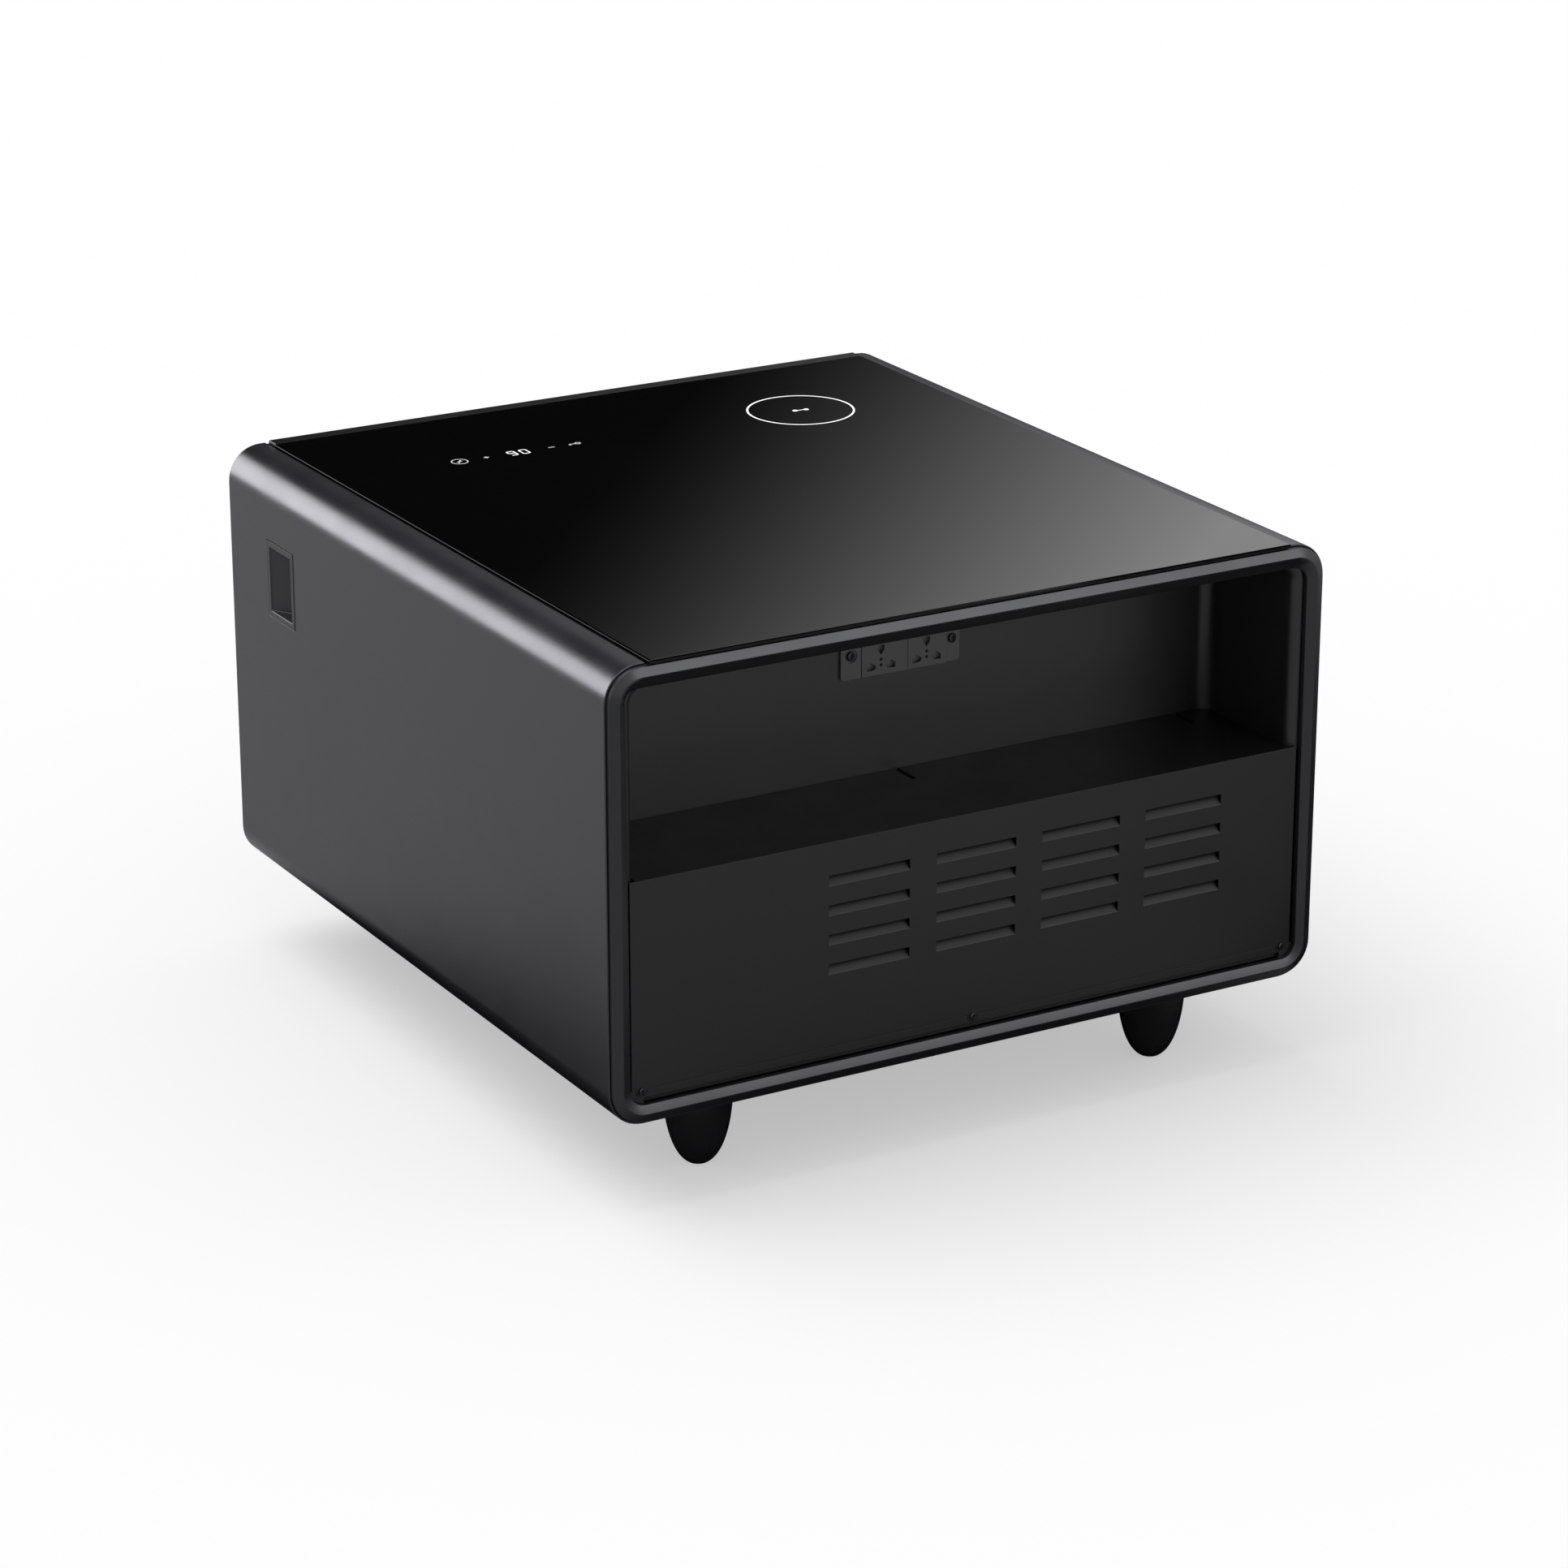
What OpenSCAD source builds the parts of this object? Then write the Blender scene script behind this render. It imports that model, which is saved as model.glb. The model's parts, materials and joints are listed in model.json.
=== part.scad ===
// Refrigerator nightstand: a low insulated cabinet wrapped in sheet steel, with a glass top,
// one cold drawer at the front, an open niche and a louvred machine cover at the rear.
// The front looks along -Y and the rear along +Y. The origin is on the floor under the centre.

/* [Shell] */
// Width of the sheet steel wrap, outside
shell_w = 576; // [560:2:600]
// Depth of the wrap, from its front edge to its rear edge
shell_d = 600; // [590:2:640]
// Height of the wrap, outside
shell_h = 328; // [322:2:350]
// Outer radius of the wrap's long corners
shell_r = 26; // [24:1:30]
// Thickness of the sheet
shell_t = 1.5; // [1.2:0.1:2]

/* [Feet] */
// Height of a foot
foot_h = 65; // [55:1:80]
// Radius of a foot at its top
foot_r = 25; // [21:0.5:28]
// How square the foot's profile is, 2 being an ellipse
foot_fullness = 2.3; // [2:0.1:3]
// Share of the full profile's height that is left above the flat tip
foot_cut = 0.97; // [0.95:0.01:0.98]
// Distance from the shell's side to a foot's axis
foot_inset_x = 99; // [85:1:99]
// Distance from the shell's end to a foot's axis
foot_inset_y = 56; // [50:1:70]
// Diameter of a foot's stud
stud_d = 8; // [6:1:10]
// Length of stud held in the foot
stud_in_foot = 38; // [25:1:45]
// Length of stud above the shell's bottom
stud_in_shell = 8; // [6:0.5:10]
// Side of a foot's reinforcing plate
foot_plate_w = 60; // [50:2:60]
// Thickness of a foot's reinforcing plate
foot_plate_t = 3; // [2:0.5:4]

/* [Glass top] */
// Width of the wrap's shoulder beside the glass
shoulder_w = 30.8; // [28:0.1:38]
// Thickness of the glass
glass_t = 4; // [3:0.5:6]
// Groove between the glass and the wrap's shoulder
glass_gap = 1.2; // [0.8:0.1:2]
// How far the glass hangs over the shell's rear edge
glass_rear_over = 4.8; // [3:0.2:5.4]
// How far the front trim bar stops short of the shell's front edge
glass_front_setback = 4.2; // [3:0.2:6]
// Depth of the trim bar in front of the glass
glass_trim_d = 12; // [8:0.5:16]
// Width of the ground bevel along the glass edges
glass_bevel = 0.8; // [0.4:0.1:1.2]

/* [Trim rings] */
// Distance from the shell's outside to a ring's outer face
ring_inset = 2; // [1.7:0.1:2.6]
// Width of a ring's face
ring_face_w = 13; // [10:0.5:14]
// Distance from a ring's outer face to its crest
ring_crest_in = 6.5; // [5:0.5:8]
// Height of a ring's outer edge over the shell's end
ring_outer_rise = 2.7; // [2:0.1:4]
// Height of a ring's crest over the shell's end
ring_crest_rise = 5.7; // [5:0.1:7]
// Height of a ring's inner edge over the shell's end
ring_inner_rise = 3.5; // [2.5:0.1:4.5]
// Thickness of a ring's body behind the shell's end
ring_back_t = 2; // [1.5:0.1:3]
// Length of a ring's spigot inside the shell
spigot_len = 10; // [8:0.5:14]
// Wall of a ring's spigot
spigot_t = 3; // [2:0.25:4]

/* [Deck under the glass] */
// Thickness of the tray that carries the glass
tray_t = 2.5; // [2:0.25:3.5]
// Free height for the electronics under the tray
deck_gap = 13.5; // [12:0.5:18]
// Thickness of a rib under the tray
tray_rib_t = 3; // [2:0.5:4]
// Diameter of the wireless charger
charger_d = 78; // [60:1:84]
// Diameter of the charger's flange, beyond its body
charger_flange = 8; // [6:1:12]
// Thickness of the charger
charger_t = 6.5; // [5:0.5:8]
// Distance from the centre plane to the charger's centre
charger_x = 133; // [120:1:150]
// Distance from the shell's front edge to the charger's centre
charger_from_front = 131; // [110:1:150]
// Width of the touch board
touch_w = 126; // [120:1:136]
// Depth of the touch board
touch_d = 36; // [30:1:44]
// Distance from the centre plane to the touch board's centre
touch_x = 108; // [100:1:112]
// Distance from the shell's front edge to the touch board's centre
touch_from_front = 127.5; // [110:0.5:150]
// Height of the board's bosses under the tray
touch_boss_h = 3.4; // [3:0.1:4]
// Thickness of the circuit boards
pcb_t = 1.6; // [1.2:0.1:2]
// Width of the two-digit display
display_w = 24; // [20:0.5:30]
// Depth of the two-digit display
display_d = 16; // [12:0.5:20]

/* [Side grips] */
// Width of a grip's frame along the side
grip_w = 45.5; // [40:0.5:52]
// Height of a grip's frame
grip_h = 58.7; // [50:0.1:66]
// Width of the frame around the grip's mouth
grip_border = 4.7; // [3:0.1:6]
// Depth of the scoop at its deep end
grip_depth = 22; // [16:0.5:24]
// Wall of the scoop
grip_wall = 2; // [1.5:0.25:2.5]
// How far the frame stands out of the sheet
grip_proud = 0.4; // [0.2:0.1:0.8]
// Distance from the shell's front edge to the grip's centre
grip_from_front = 89.7; // [85:0.1:110]
// Distance from the shell's top down to the grip's centre
grip_from_top = 83.3; // [80:0.1:98]

/* [Rear niche] */
// How far the niche's sides lie inside the ring's opening
niche_inset = 8; // [6:0.5:16]
// Depth of the niche from the shell's rear edge
niche_d = 106; // [96:1:112]
// Height of the niche floor over the shell's bottom
niche_floor_z = 175; // [168:1:180]
// Wall of the niche liner
niche_wall = 2.5; // [2:0.25:3]
// Inner corner radius of the niche
niche_r = 10; // [8:0.5:14]
// Radius of the rolled edge round the niche's mouth
niche_roll = 8; // [6:0.5:9]
// Number of slots in the niche floor
floor_slots = 3; // [2:1:4]
// Distance from the niche's side to the outer slot
floor_slot_margin = 28; // [20:1:80]
// Length of a slot in the niche floor
floor_slot_len = 25; // [18:1:30]
// Width of a slot in the niche floor
floor_slot_w = 3.6; // [3:0.1:3.9]

/* [Sockets] */
// Width of the socket plate
socket_plate_w = 98; // [94:1:104]
// Height of the socket plate
socket_plate_h = 34.6; // [34:0.1:40]
// Thickness of the socket plate
socket_plate_t = 2; // [1.6:0.1:3]
// How far the plate's centre lies off the centre plane, towards -X
socket_offset = 2.4; // [0:0.1:20]
// Distance from the niche's ceiling down to the socket plate's centre
socket_from_top = 43.2; // [33:0.1:53]
// Width of a socket module
socket_module_w = 32; // [31:0.5:32.5]
// Width of the blank strip beside the first module
socket_blank_w = 5.8; // [4:0.1:7]
// Depth of a socket module behind the plate
socket_module_d = 22; // [16:1:24]
// Distance between the plate's two screws
socket_screw_pitch = 83; // [82:0.5:86]
// Depth of the socket's back box behind the niche wall
back_box_d = 25; // [24:0.5:27]

/* [Rear cover] */
// Gap between the louvred cover and the ring's opening
cover_gap = 2.5; // [1:0.1:4]
// Thickness of the cover's sheet
cover_t = 1.2; // [0.8:0.1:1.5]
// Height of the cover's lower edge over the shell's bottom
cover_bottom_z = 25; // [24:0.5:30]
// How far the cover's upper edge stands over the niche floor
cover_over_floor = 0.5; // [0:0.1:1]
// Number of louvre columns
louvre_cols = 4; // [3:1:4]
// Number of louvre rows
louvre_rows = 4; // [3:1:5]
// Length of a louvre
louvre_w = 64.5; // [50:0.5:72]
// Height of a louvre's opening
louvre_h = 7.7; // [6:0.1:9]
// Distance between louvre columns
louvre_pitch_x = 86.2; // [80:0.2:90]
// Distance between louvre rows
louvre_pitch_z = 21.6; // [16:0.2:24]
// How far a louvre's blade leans in
louvre_lean = 6; // [4:0.5:7]
// Distance from the cover's centre to the louvre field's centre, towards -X
louvre_field_x = 44.75; // [30:0.25:50]
// Distance from the cover's upper edge down to the first louvre
louvre_from_top = 24.4; // [20:0.2:28]
// Head diameter of the cover's screws
cover_screw_head_d = 5.4; // [5:0.1:6]
// Shank diameter of the cover's screws
cover_screw_d = 3; // [2.5:0.25:3.5]
// Distance from the cover's side to an outer screw
cover_screw_margin = 7.5; // [6.5:0.5:30]

/* [Insulation and cold liner] */
// Foam between the shell's side and the liner
foam_side = 36; // [34:0.5:42]
// Foam under the liner
foam_bottom = 30; // [26:0.5:38]
// Foam over the liner
foam_top = 28; // [24:0.5:34]
// Foam between the niche and the liner
foam_niche = 31; // [30:0.5:36]
// Foam between the bulkhead and the liner
foam_bulkhead = 36; // [30:0.5:42]
// Foam between the machine compartment's roof and the liner's step
foam_step = 29; // [26:0.5:34]
// Wall of the cold liner
liner_t = 2; // [1.5:0.25:2.5]
// Gap that the foam's skin leaves to the sheet metal
skin_gap = 0.3; // [0.2:0.05:0.4]

/* [Machine compartment] */
// Depth of the compartment from the shell's rear edge to the bulkhead
machine_d = 188; // [186:1:192]
// Thickness of the bulkhead's sheet
bulkhead_t = 1.5; // [1:0.1:2]
// Thickness of the base plate
base_t = 2; // [1.5:0.1:2.5]
// Diameter of the compressor's shell
comp_d = 118; // [108:1:122]
// Height of the compressor's shell
comp_h = 120; // [108:1:122]
// Radius of the compressor shell's edges
comp_edge_r = 30; // [24:1:36]
// Distance from the shell's side to the compressor's axis
comp_from_side = 88.5; // [88:0.5:92]
// Height of a rubber mount under the compressor
grommet_h = 12; // [9:0.5:13]
// Radius of a rubber mount
grommet_r = 8.5; // [7.5:0.5:9]
// Distance between the rubber mounts along X
grommet_pitch_x = 101; // [98:0.5:102]
// Distance between the rubber mounts along Y
grommet_pitch_y = 80; // [72:1:84]
// Room between the condenser's finned block and the compressor, for the dryer and pipes
cond_room = 173; // [165:1:210]
// Depth of a condenser fin
cond_fin_d = 48; // [46:1:50]
// Distance between the condenser's fins
cond_fin_pitch = 8; // [6:1:12]
// Thickness of a fin
fin_t = 0.6; // [0.5:0.1:1]
// Rows of tube in the condenser
cond_rows = 5; // [4:1:5]
// Distance between the tube's runs
cond_tube_pitch = 24; // [23:0.5:24]
// Outer diameter of the refrigerant tube
tube_d = 8; // [6:0.5:9]
// Size of the condenser fan's frame
cond_fan_w = 110; // [100:1:116]
// Depth of the condenser fan's frame
cond_fan_d = 25; // [20:1:26]
// Height of the drip tray
drip_h = 16; // [12:1:20]

/* [Evaporator] */
// Room beside the evaporator's finned block for its bends and pipes
evap_side = 48; // [42:1:70]
// Distance between the evaporator's fins
evap_fin_pitch = 16; // [12:1:24]
// Depth of an evaporator fin
evap_fin_d = 44; // [42:1:46]
// Distance between the evaporator tube's runs
evap_tube_pitch = 22; // [21:0.5:23]
// Gap over and under the evaporator fan's frame
evap_fan_gap = 7.35; // [5.5:0.05:11]
// Depth of the evaporator fan's frame
evap_fan_d = 15; // [12:1:15]
// Thickness of the evaporator's cover
evap_cover_t = 2; // [1.5:0.25:2.5]

/* [Drawer] */
// Gap round the drawer's front inside the front ring
front_gap = 1.6; // [1.2:0.1:2.4]
// How far the drawer's front stands over the shell's front edge
front_proud = 3; // [2:0.1:3.4]
// Thickness of the drawer's front
front_t = 41; // [36:0.5:46]
// Thickness of the front's sheet
front_skin_t = 1.5; // [1:0.1:2]
// Height of the grip rail along the top of the front
rail_h = 30.4; // [28:0.2:34]
// Depth of the finger scoop in the grip rail
scoop_d = 27; // [22:0.5:30]
// Height of the finger scoop's mouth
scoop_mouth_h = 14; // [13:0.5:15]
// Height of the finger scoop behind its lip
scoop_h = 20; // [19:0.5:21]
// Thickness of the panel behind the drawer's front
inner_panel_t = 2; // [1.5:0.25:3]
// Depth of the panel's step into the liner's mouth
plug_d = 10; // [8:0.5:12]
// Thickness of the magnetic seal
gasket_t = 6; // [5:0.25:8]
// Width of the magnetic seal
gasket_w = 14; // [12:0.5:15]
// Distance from the edge of the drawer's front to the seal
gasket_inset = 2.6; // [2:0.1:4]
// Room for a runner between the bin and the liner
runner_room = 13.2; // [12:0.1:15]
// Gap between the bin's back and the liner
bin_back_gap = 12; // [6:0.5:24]
// Gap between the bin's rim and the liner's top
bin_top_gap = 12.8; // [8:0.2:40]
// Wall of the bin
bin_wall = 2.5; // [2:0.25:3]
// Corner radius of the bin
bin_r = 14; // [8:1:20]
// Air under the bin
bin_lift = 10; // [8:0.5:14]
// Height of a telescopic runner
runner_h = 45; // [35:1:50]
// Sheet thickness of a runner
runner_t = 1.5; // [1.2:0.1:1.8]

/* [Hidden] */

$fn = 64;
// Clearance of a piece that is slipped in beside another
fit = 0.3;
// Radial clearance of a shaft or stud in its hole
run = 0.05;
// Overshoot of a cut past the face it opens
cut = 1;

// Planes of the wrap
half_w = shell_w / 2;
glass_w = shell_w - 2 * (shoulder_w + glass_gap);
front_y = -shell_d / 2;
rear_y = shell_d / 2;
in_x = half_w - shell_t;
in_r = shell_r - shell_t;
roof_z = shell_h - shell_t;
glass_top_z = roof_z + glass_t;
flat_x = half_w - shell_r;

// Deck and niche levels
tray_z = roof_z - tray_t;
deck_z = tray_z - deck_gap;
tray_half_w = flat_x;
tray_end_y = rear_y - spigot_len - fit;
niche_back_y = rear_y - niche_d;
niche_mouth_y = rear_y - ring_back_t - fit;
niche_top_z = deck_z - niche_wall;
niche_floor_t = niche_wall;
cabin_z = niche_floor_z - niche_floor_t;
bulkhead_y = rear_y - machine_d;

// Drawer front and cabinet face
face_y = front_y - front_proud;
panel_y = face_y + front_t;
seal_y = panel_y + inner_panel_t;
flange_y = seal_y + gasket_t + fit;
aperture_w = shell_w - 2 * (ring_inset + ring_face_w);
aperture_h = shell_h - 2 * (ring_inset + ring_face_w);
aperture_r = shell_r - ring_inset - ring_face_w;
niche_w = aperture_w - 2 * niche_inset;
cover_w = aperture_w - 2 * cover_gap;
face_w = aperture_w - 2 * front_gap;
face_h = aperture_h - 2 * front_gap;
face_r = max(2, aperture_r - front_gap);
face_bottom = shell_h / 2 - face_h / 2;
face_top = shell_h / 2 + face_h / 2;
rail_z = face_top - rail_h;
scoop_top = face_top - 4.4;

// Cold liner
liner_x = in_x - skin_gap - foam_side;
cold_x = liner_x - liner_t;
liner_bottom = shell_t + skin_gap + foam_bottom;
cold_bottom = liner_bottom + liner_t;
liner_top = deck_z - foam_top;
cold_top = liner_top - liner_t;
foam_front_y = flange_y + liner_t;
foam_low_y = bulkhead_y - bulkhead_t - skin_gap;
liner_low_y = foam_low_y - foam_bulkhead;
cold_low_y = liner_low_y - liner_t;
foam_high_y = niche_back_y - niche_wall - skin_gap;
liner_high_y = foam_high_y - foam_niche;
cold_high_y = liner_high_y - liner_t;
foam_step_z = cabin_z + skin_gap;
step_z = foam_step_z + foam_step;
cold_step_z = step_z + liner_t;

// Feet
foot_x = half_w - foot_inset_x;
foot_y = shell_d / 2 - foot_inset_y;
foot_corners = [[1, 1], [-1, 1], [1, -1], [-1, -1]];

// Side grips
grip_y = front_y + grip_from_front;
grip_z = shell_h - grip_from_top;
grip_mouth_w = grip_w - 2 * grip_border;
grip_mouth_h = grip_h - 2 * grip_border;

// Sockets: the plate, its modules and its screws, in the niche's back wall
socket_z = niche_top_z - socket_from_top;
socket_x = -socket_offset;
socket_module_h = socket_plate_h - 0.6;
socket_screw_head_r = 3.6;

// Rear cover and its screws
cover_top_z = niche_floor_z + cover_over_floor;
cover_screw_z = cover_bottom_z - 1.4;
lug_r = 4;
cover_screw_xs = [for (s = [-1 : 1]) s * (cover_w / 2 - cover_screw_margin)];
cover_screw_head_t = 1.1;
cover_screw_len = 8;
sill_t = 3;

// Machine compartment: base, compressor, condenser and fan
base_z = shell_t + base_t;
base_half_w = flat_x - 2;
comp_x = half_w - comp_from_side;
comp_y = (bulkhead_y + rear_y) / 2;
bracket_t = 2;
bracket_z = base_z + grommet_h;
comp_z = bracket_z + bracket_t;
comp_top = comp_z + comp_h;
comp_bolt_r = 4;
port_r = tube_d / 2 - 0.6;
port_len = 14;
discharge_z = comp_z + 85;
suction_z = comp_z + 44;
cond_x1 = -in_x + 54;
cond_x2 = comp_x - comp_d / 2 - cond_room;
cond_y = rear_y - 44;
cond_tube_z = base_z + 46;
cond_overhang = 6;
fan_gap = 6;
cond_fan_x = (cond_x1 + cond_x2) / 2;
cond_fan_z = base_z + 40 + cond_fan_w / 2;
cond_fan_y = cond_y - cond_fin_d / 2 - fan_gap - cond_fan_d / 2;
drip_wall = 1.5;
drip_w = 130;
drip_y1 = bulkhead_y + 31;
drip_y2 = comp_y + 54;

// Pipes that climb from the compartment to the evaporator
riser_x = cold_x - 12;
suction_riser_y = bulkhead_y + 10;
capillary_riser_y = bulkhead_y + 26;
capillary_r = 1.5;
riser_hole_r = tube_d / 2 + 1;
drain_x = comp_x - 35;
drain_y = drip_y1 + 7;
drain_r = 5;
drain_wall = 1;
dryer_r = 8;
dryer_len = 70;

// Mains inlet in the underside
inlet_x = 60;
inlet_y = rear_y - 38;
inlet_w = 48;
inlet_d = 28;
inlet_flange_t = 2;
inlet_body_w = 30;
inlet_body_d = 22;
inlet_body_h = 20;
inlet_mouth_w = 25;
inlet_mouth_d = 17;
inlet_depth = 16;

// Evaporator and its fan in the liner's upper rear pocket
evap_z = (cold_step_z + cold_top) / 2;
evap_fan_w = cold_top - cold_step_z - 2 * evap_fan_gap;
evap_y = cold_high_y - 6 - evap_fin_d / 2;
evap_fin_h = cold_top - cold_step_z - 4;
evap_x2 = cold_x - evap_side;
evap_x1 = -evap_x2;
evap_cover_y = cold_low_y;
evap_fan_y = evap_cover_y + evap_cover_t + evap_fan_d / 2;

// Bin and runners
bin_y = seal_y + plug_d;
bin_z = cold_bottom + bin_lift;
bin_x = cold_x - runner_room;
bin_w = 2 * bin_x;
bin_d = cold_low_y - bin_back_gap - bin_y;
bin_h = cold_top - bin_top_gap - bin_z;
runner_z = bin_z + bin_h / 2;
runner_y1 = bin_y + fit;
runner_len = bin_d - fit;

// A box from its low corner to its high corner
module block(lo, hi) {
    translate(lo) cube(hi - lo);
}

// The child shape, drawn in X and Z, extruded from y0 to y1
module along_y(y0, y1) {
    translate([0, y1, 0]) rotate([90, 0, 0]) linear_extrude(y1 - y0) children();
}

// The child shape, drawn in Y and Z, extruded from x0 to x1
module along_x(x0, x1) {
    translate([x0, 0, 0]) rotate([90, 0, 90]) linear_extrude(x1 - x0) children();
}

// A rectangle with round corners, centred
module round_rect(w, h, r) {
    square([w - 2 * r, h], center = true);
    square([w, h - 2 * r], center = true);
    for (sx = [-1, 1], sy = [-1, 1]) {
        translate([sx * (w / 2 - r), sy * (h / 2 - r)]) circle(r);
    }
}

// The shell's outline, moved in by a distance, in X and Z
module shell_outline(inward) {
    translate([0, shell_h / 2])
        round_rect(shell_w - 2 * inward, shell_h - 2 * inward, shell_r - inward);
}

// A profile swept round a rounded rectangle; its x is the distance out from the corner's centre
module frame_sweep(w, h, r) {
    for (turn = [0, 180]) {
        rotate([0, 0, turn]) {
            translate([-(w / 2 - r), h / 2 - r, 0])
                rotate([90, 0, 90]) linear_extrude(w - 2 * r) children();
            translate([w / 2 - r, h / 2 - r, 0])
                rotate([90, 0, 0]) linear_extrude(h - 2 * r) children();
            translate([w / 2 - r, h / 2 - r, 0]) rotate_extrude(angle = 90) children();
            translate([-(w / 2 - r), h / 2 - r, 0])
                rotate([0, 0, 90]) rotate_extrude(angle = 90) children();
        }
    }
}

// A straight tube or rod between two points
module rod(a, b, r) {
    v = b - a;
    len = norm(v);
    translate(a)
        rotate([0, acos(v[2] / len), atan2(v[1], v[0])])
            cylinder(h = len, r = r, $fn = 32);
}

// A pipe through a list of points, with ball corners
module pipe_run(points, r) {
    for (i = [0 : len(points) - 2]) rod(points[i], points[i + 1], r);
    for (i = [1 : 1 : len(points) - 2]) translate(points[i]) sphere(r, $fn = 32);
}

// A pan head screw along +Y with a cross recess, its head's top at the origin
module cross_screw(head_r, head_t, shank_r, shank_len) {
    difference() {
        union() {
            along_y(-head_t, 0) circle(head_r, $fn = 32);
            along_y(-head_t - shank_len, -head_t) circle(shank_r, $fn = 32);
        }
        along_y(-head_t * 0.6, cut) square([head_r * 1.1, head_r * 0.28], center = true);
        along_y(-head_t * 0.6, cut) square([head_r * 0.28, head_r * 1.1], center = true);
    }
}

// Room for the feet's reinforcing plates
module foot_plate_room() {
    side = foot_plate_w + 2 * fit;
    at_feet() translate([-side / 2, -side / 2, 0]) cube([side, side, shell_t + foot_plate_t + fit]);
}

// Lifts a piece from the shell's own level to its place on the feet
module on_feet() {
    translate([0, 0, foot_h]) children();
}

// The four foot positions, on the shell's bottom
module at_feet() {
    for (c = foot_corners) translate([c[0] * foot_x, c[1] * foot_y, 0]) children();
}

// ---- casing ----

module outer_shell() {
    color("#55555a") on_feet() difference() {
        along_y(front_y, rear_y) difference() {
            shell_outline(0);
            shell_outline(shell_t);
            translate([-glass_w / 2 - glass_gap, roof_z - cut])
                square([glass_w + 2 * glass_gap, shell_t + 2 * cut]);
        }
        block([-half_w - cut, grip_y - grip_w / 2 - fit, grip_z - grip_h / 2 - fit],
            [half_w + cut, grip_y + grip_w / 2 + fit, grip_z + grip_h / 2 + fit]);
        at_feet() translate([0, 0, -cut]) cylinder(h = shell_t + 2 * cut, r = stud_d / 2 + run);
        inlet_hole();
    }
}

// The opening for the mains inlet, through the shell and the base plate
module inlet_hole() {
    block([inlet_x - inlet_body_w / 2 - fit, inlet_y - inlet_body_d / 2 - fit, -cut],
        [inlet_x + inlet_body_w / 2 + fit, inlet_y + inlet_body_d / 2 + fit, base_z + cut]);
}

// Section of a trim ring: x is the distance out from the corner's centre, y is height over the end
module ring_section() {
    out = shell_r - ring_inset;
    seat = in_r - run * 2;
    inner = out - ring_face_w;
    polygon([
        [seat, -spigot_len],
        [seat, 0.4],
        [out, 0.8],
        [out, ring_outer_rise],
        [out - ring_crest_in, ring_crest_rise],
        [inner, ring_inner_rise],
        [inner, -ring_back_t],
        [seat - spigot_t, -ring_back_t],
        [seat - spigot_t, -spigot_len]
    ]);
}

module trim_ring() {
    translate([0, 0, shell_h / 2]) rotate([90, 0, 180]) translate([0, 0, rear_y])
        frame_sweep(shell_w, shell_h, shell_r) ring_section();
}

module rear_trim_ring() {
    color("#3a3b3d") on_feet() trim_ring();
}

module front_trim_ring() {
    color("#3a3b3d") on_feet() rotate([0, 0, 180]) trim_ring();
}

// A slab under the glass line with its long upper edges bevelled
module top_slab(y0, y1) {
    along_y(y0, y1) polygon([
        [-glass_w / 2, roof_z],
        [glass_w / 2, roof_z],
        [glass_w / 2, glass_top_z - glass_bevel],
        [glass_w / 2 - glass_bevel, glass_top_z],
        [-glass_w / 2 + glass_bevel, glass_top_z],
        [-glass_w / 2, glass_top_z - glass_bevel]
    ]);
}

trim_back_y = front_y + glass_front_setback + glass_trim_d;

module glass_top() {
    color("#0a0a0b") on_feet() top_slab(trim_back_y, rear_y + glass_rear_over);
}

module glass_front_trim() {
    color("#2a2a2c") on_feet() top_slab(front_y + glass_front_setback, trim_back_y);
}

// ---- deck under the glass ----

charger_pos = [-charger_x, front_y + charger_from_front, 0];
touch_pos = [touch_x, front_y + touch_from_front, 0];
touch_boss_dx = touch_w / 2 - 5;
touch_boss_dy = touch_d / 2 - 5;
touch_board_z = tray_z - touch_boss_h - pcb_t;
touch_window_w = touch_w - 18;
tray_rib_xs = [-tray_half_w + tray_rib_t / 2, 0, tray_half_w - tray_rib_t / 2];
tray_rib_y1 = foam_front_y + 2;

// The four bosses of the touch board
module at_touch_bosses() {
    for (sx = [-1, 1], sy = [-1, 1])
        translate(touch_pos + [sx * touch_boss_dx, sy * touch_boss_dy, 0]) children();
}

module top_tray() {
    color("#1c1c1e") on_feet() difference() {
        union() {
            block([-tray_half_w, -tray_end_y, tray_z], [tray_half_w, tray_end_y, roof_z]);
            for (x = tray_rib_xs)
                block([x - tray_rib_t / 2, tray_rib_y1, deck_z],
                    [x + tray_rib_t / 2, tray_end_y, tray_z]);
            block([-tray_half_w, flange_y, deck_z], [tray_half_w, flange_y + tray_rib_t, tray_z]);
            at_touch_bosses() translate([0, 0, tray_z - touch_boss_h])
                cylinder(h = touch_boss_h, r = 3.5, $fn = 32);
        }
        translate(charger_pos + [0, 0, tray_z - cut])
            cylinder(h = tray_t + 2 * cut, d = charger_d + 2 * fit, $fn = 96);
        translate(touch_pos + [-touch_window_w / 2, -touch_d / 2 + 2, tray_z - cut])
            cube([touch_window_w, touch_d - 4, tray_t + 2 * cut]);
        at_touch_bosses() translate([0, 0, tray_z - touch_boss_h - cut])
            cylinder(h = touch_boss_h + cut, r = 1.2, $fn = 24);
    }
}

// Key pads of the touch board, from the round key to the lock key, as distances along X
touch_keys = [49.3, 27.2, -27.3, -47.2];

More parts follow.
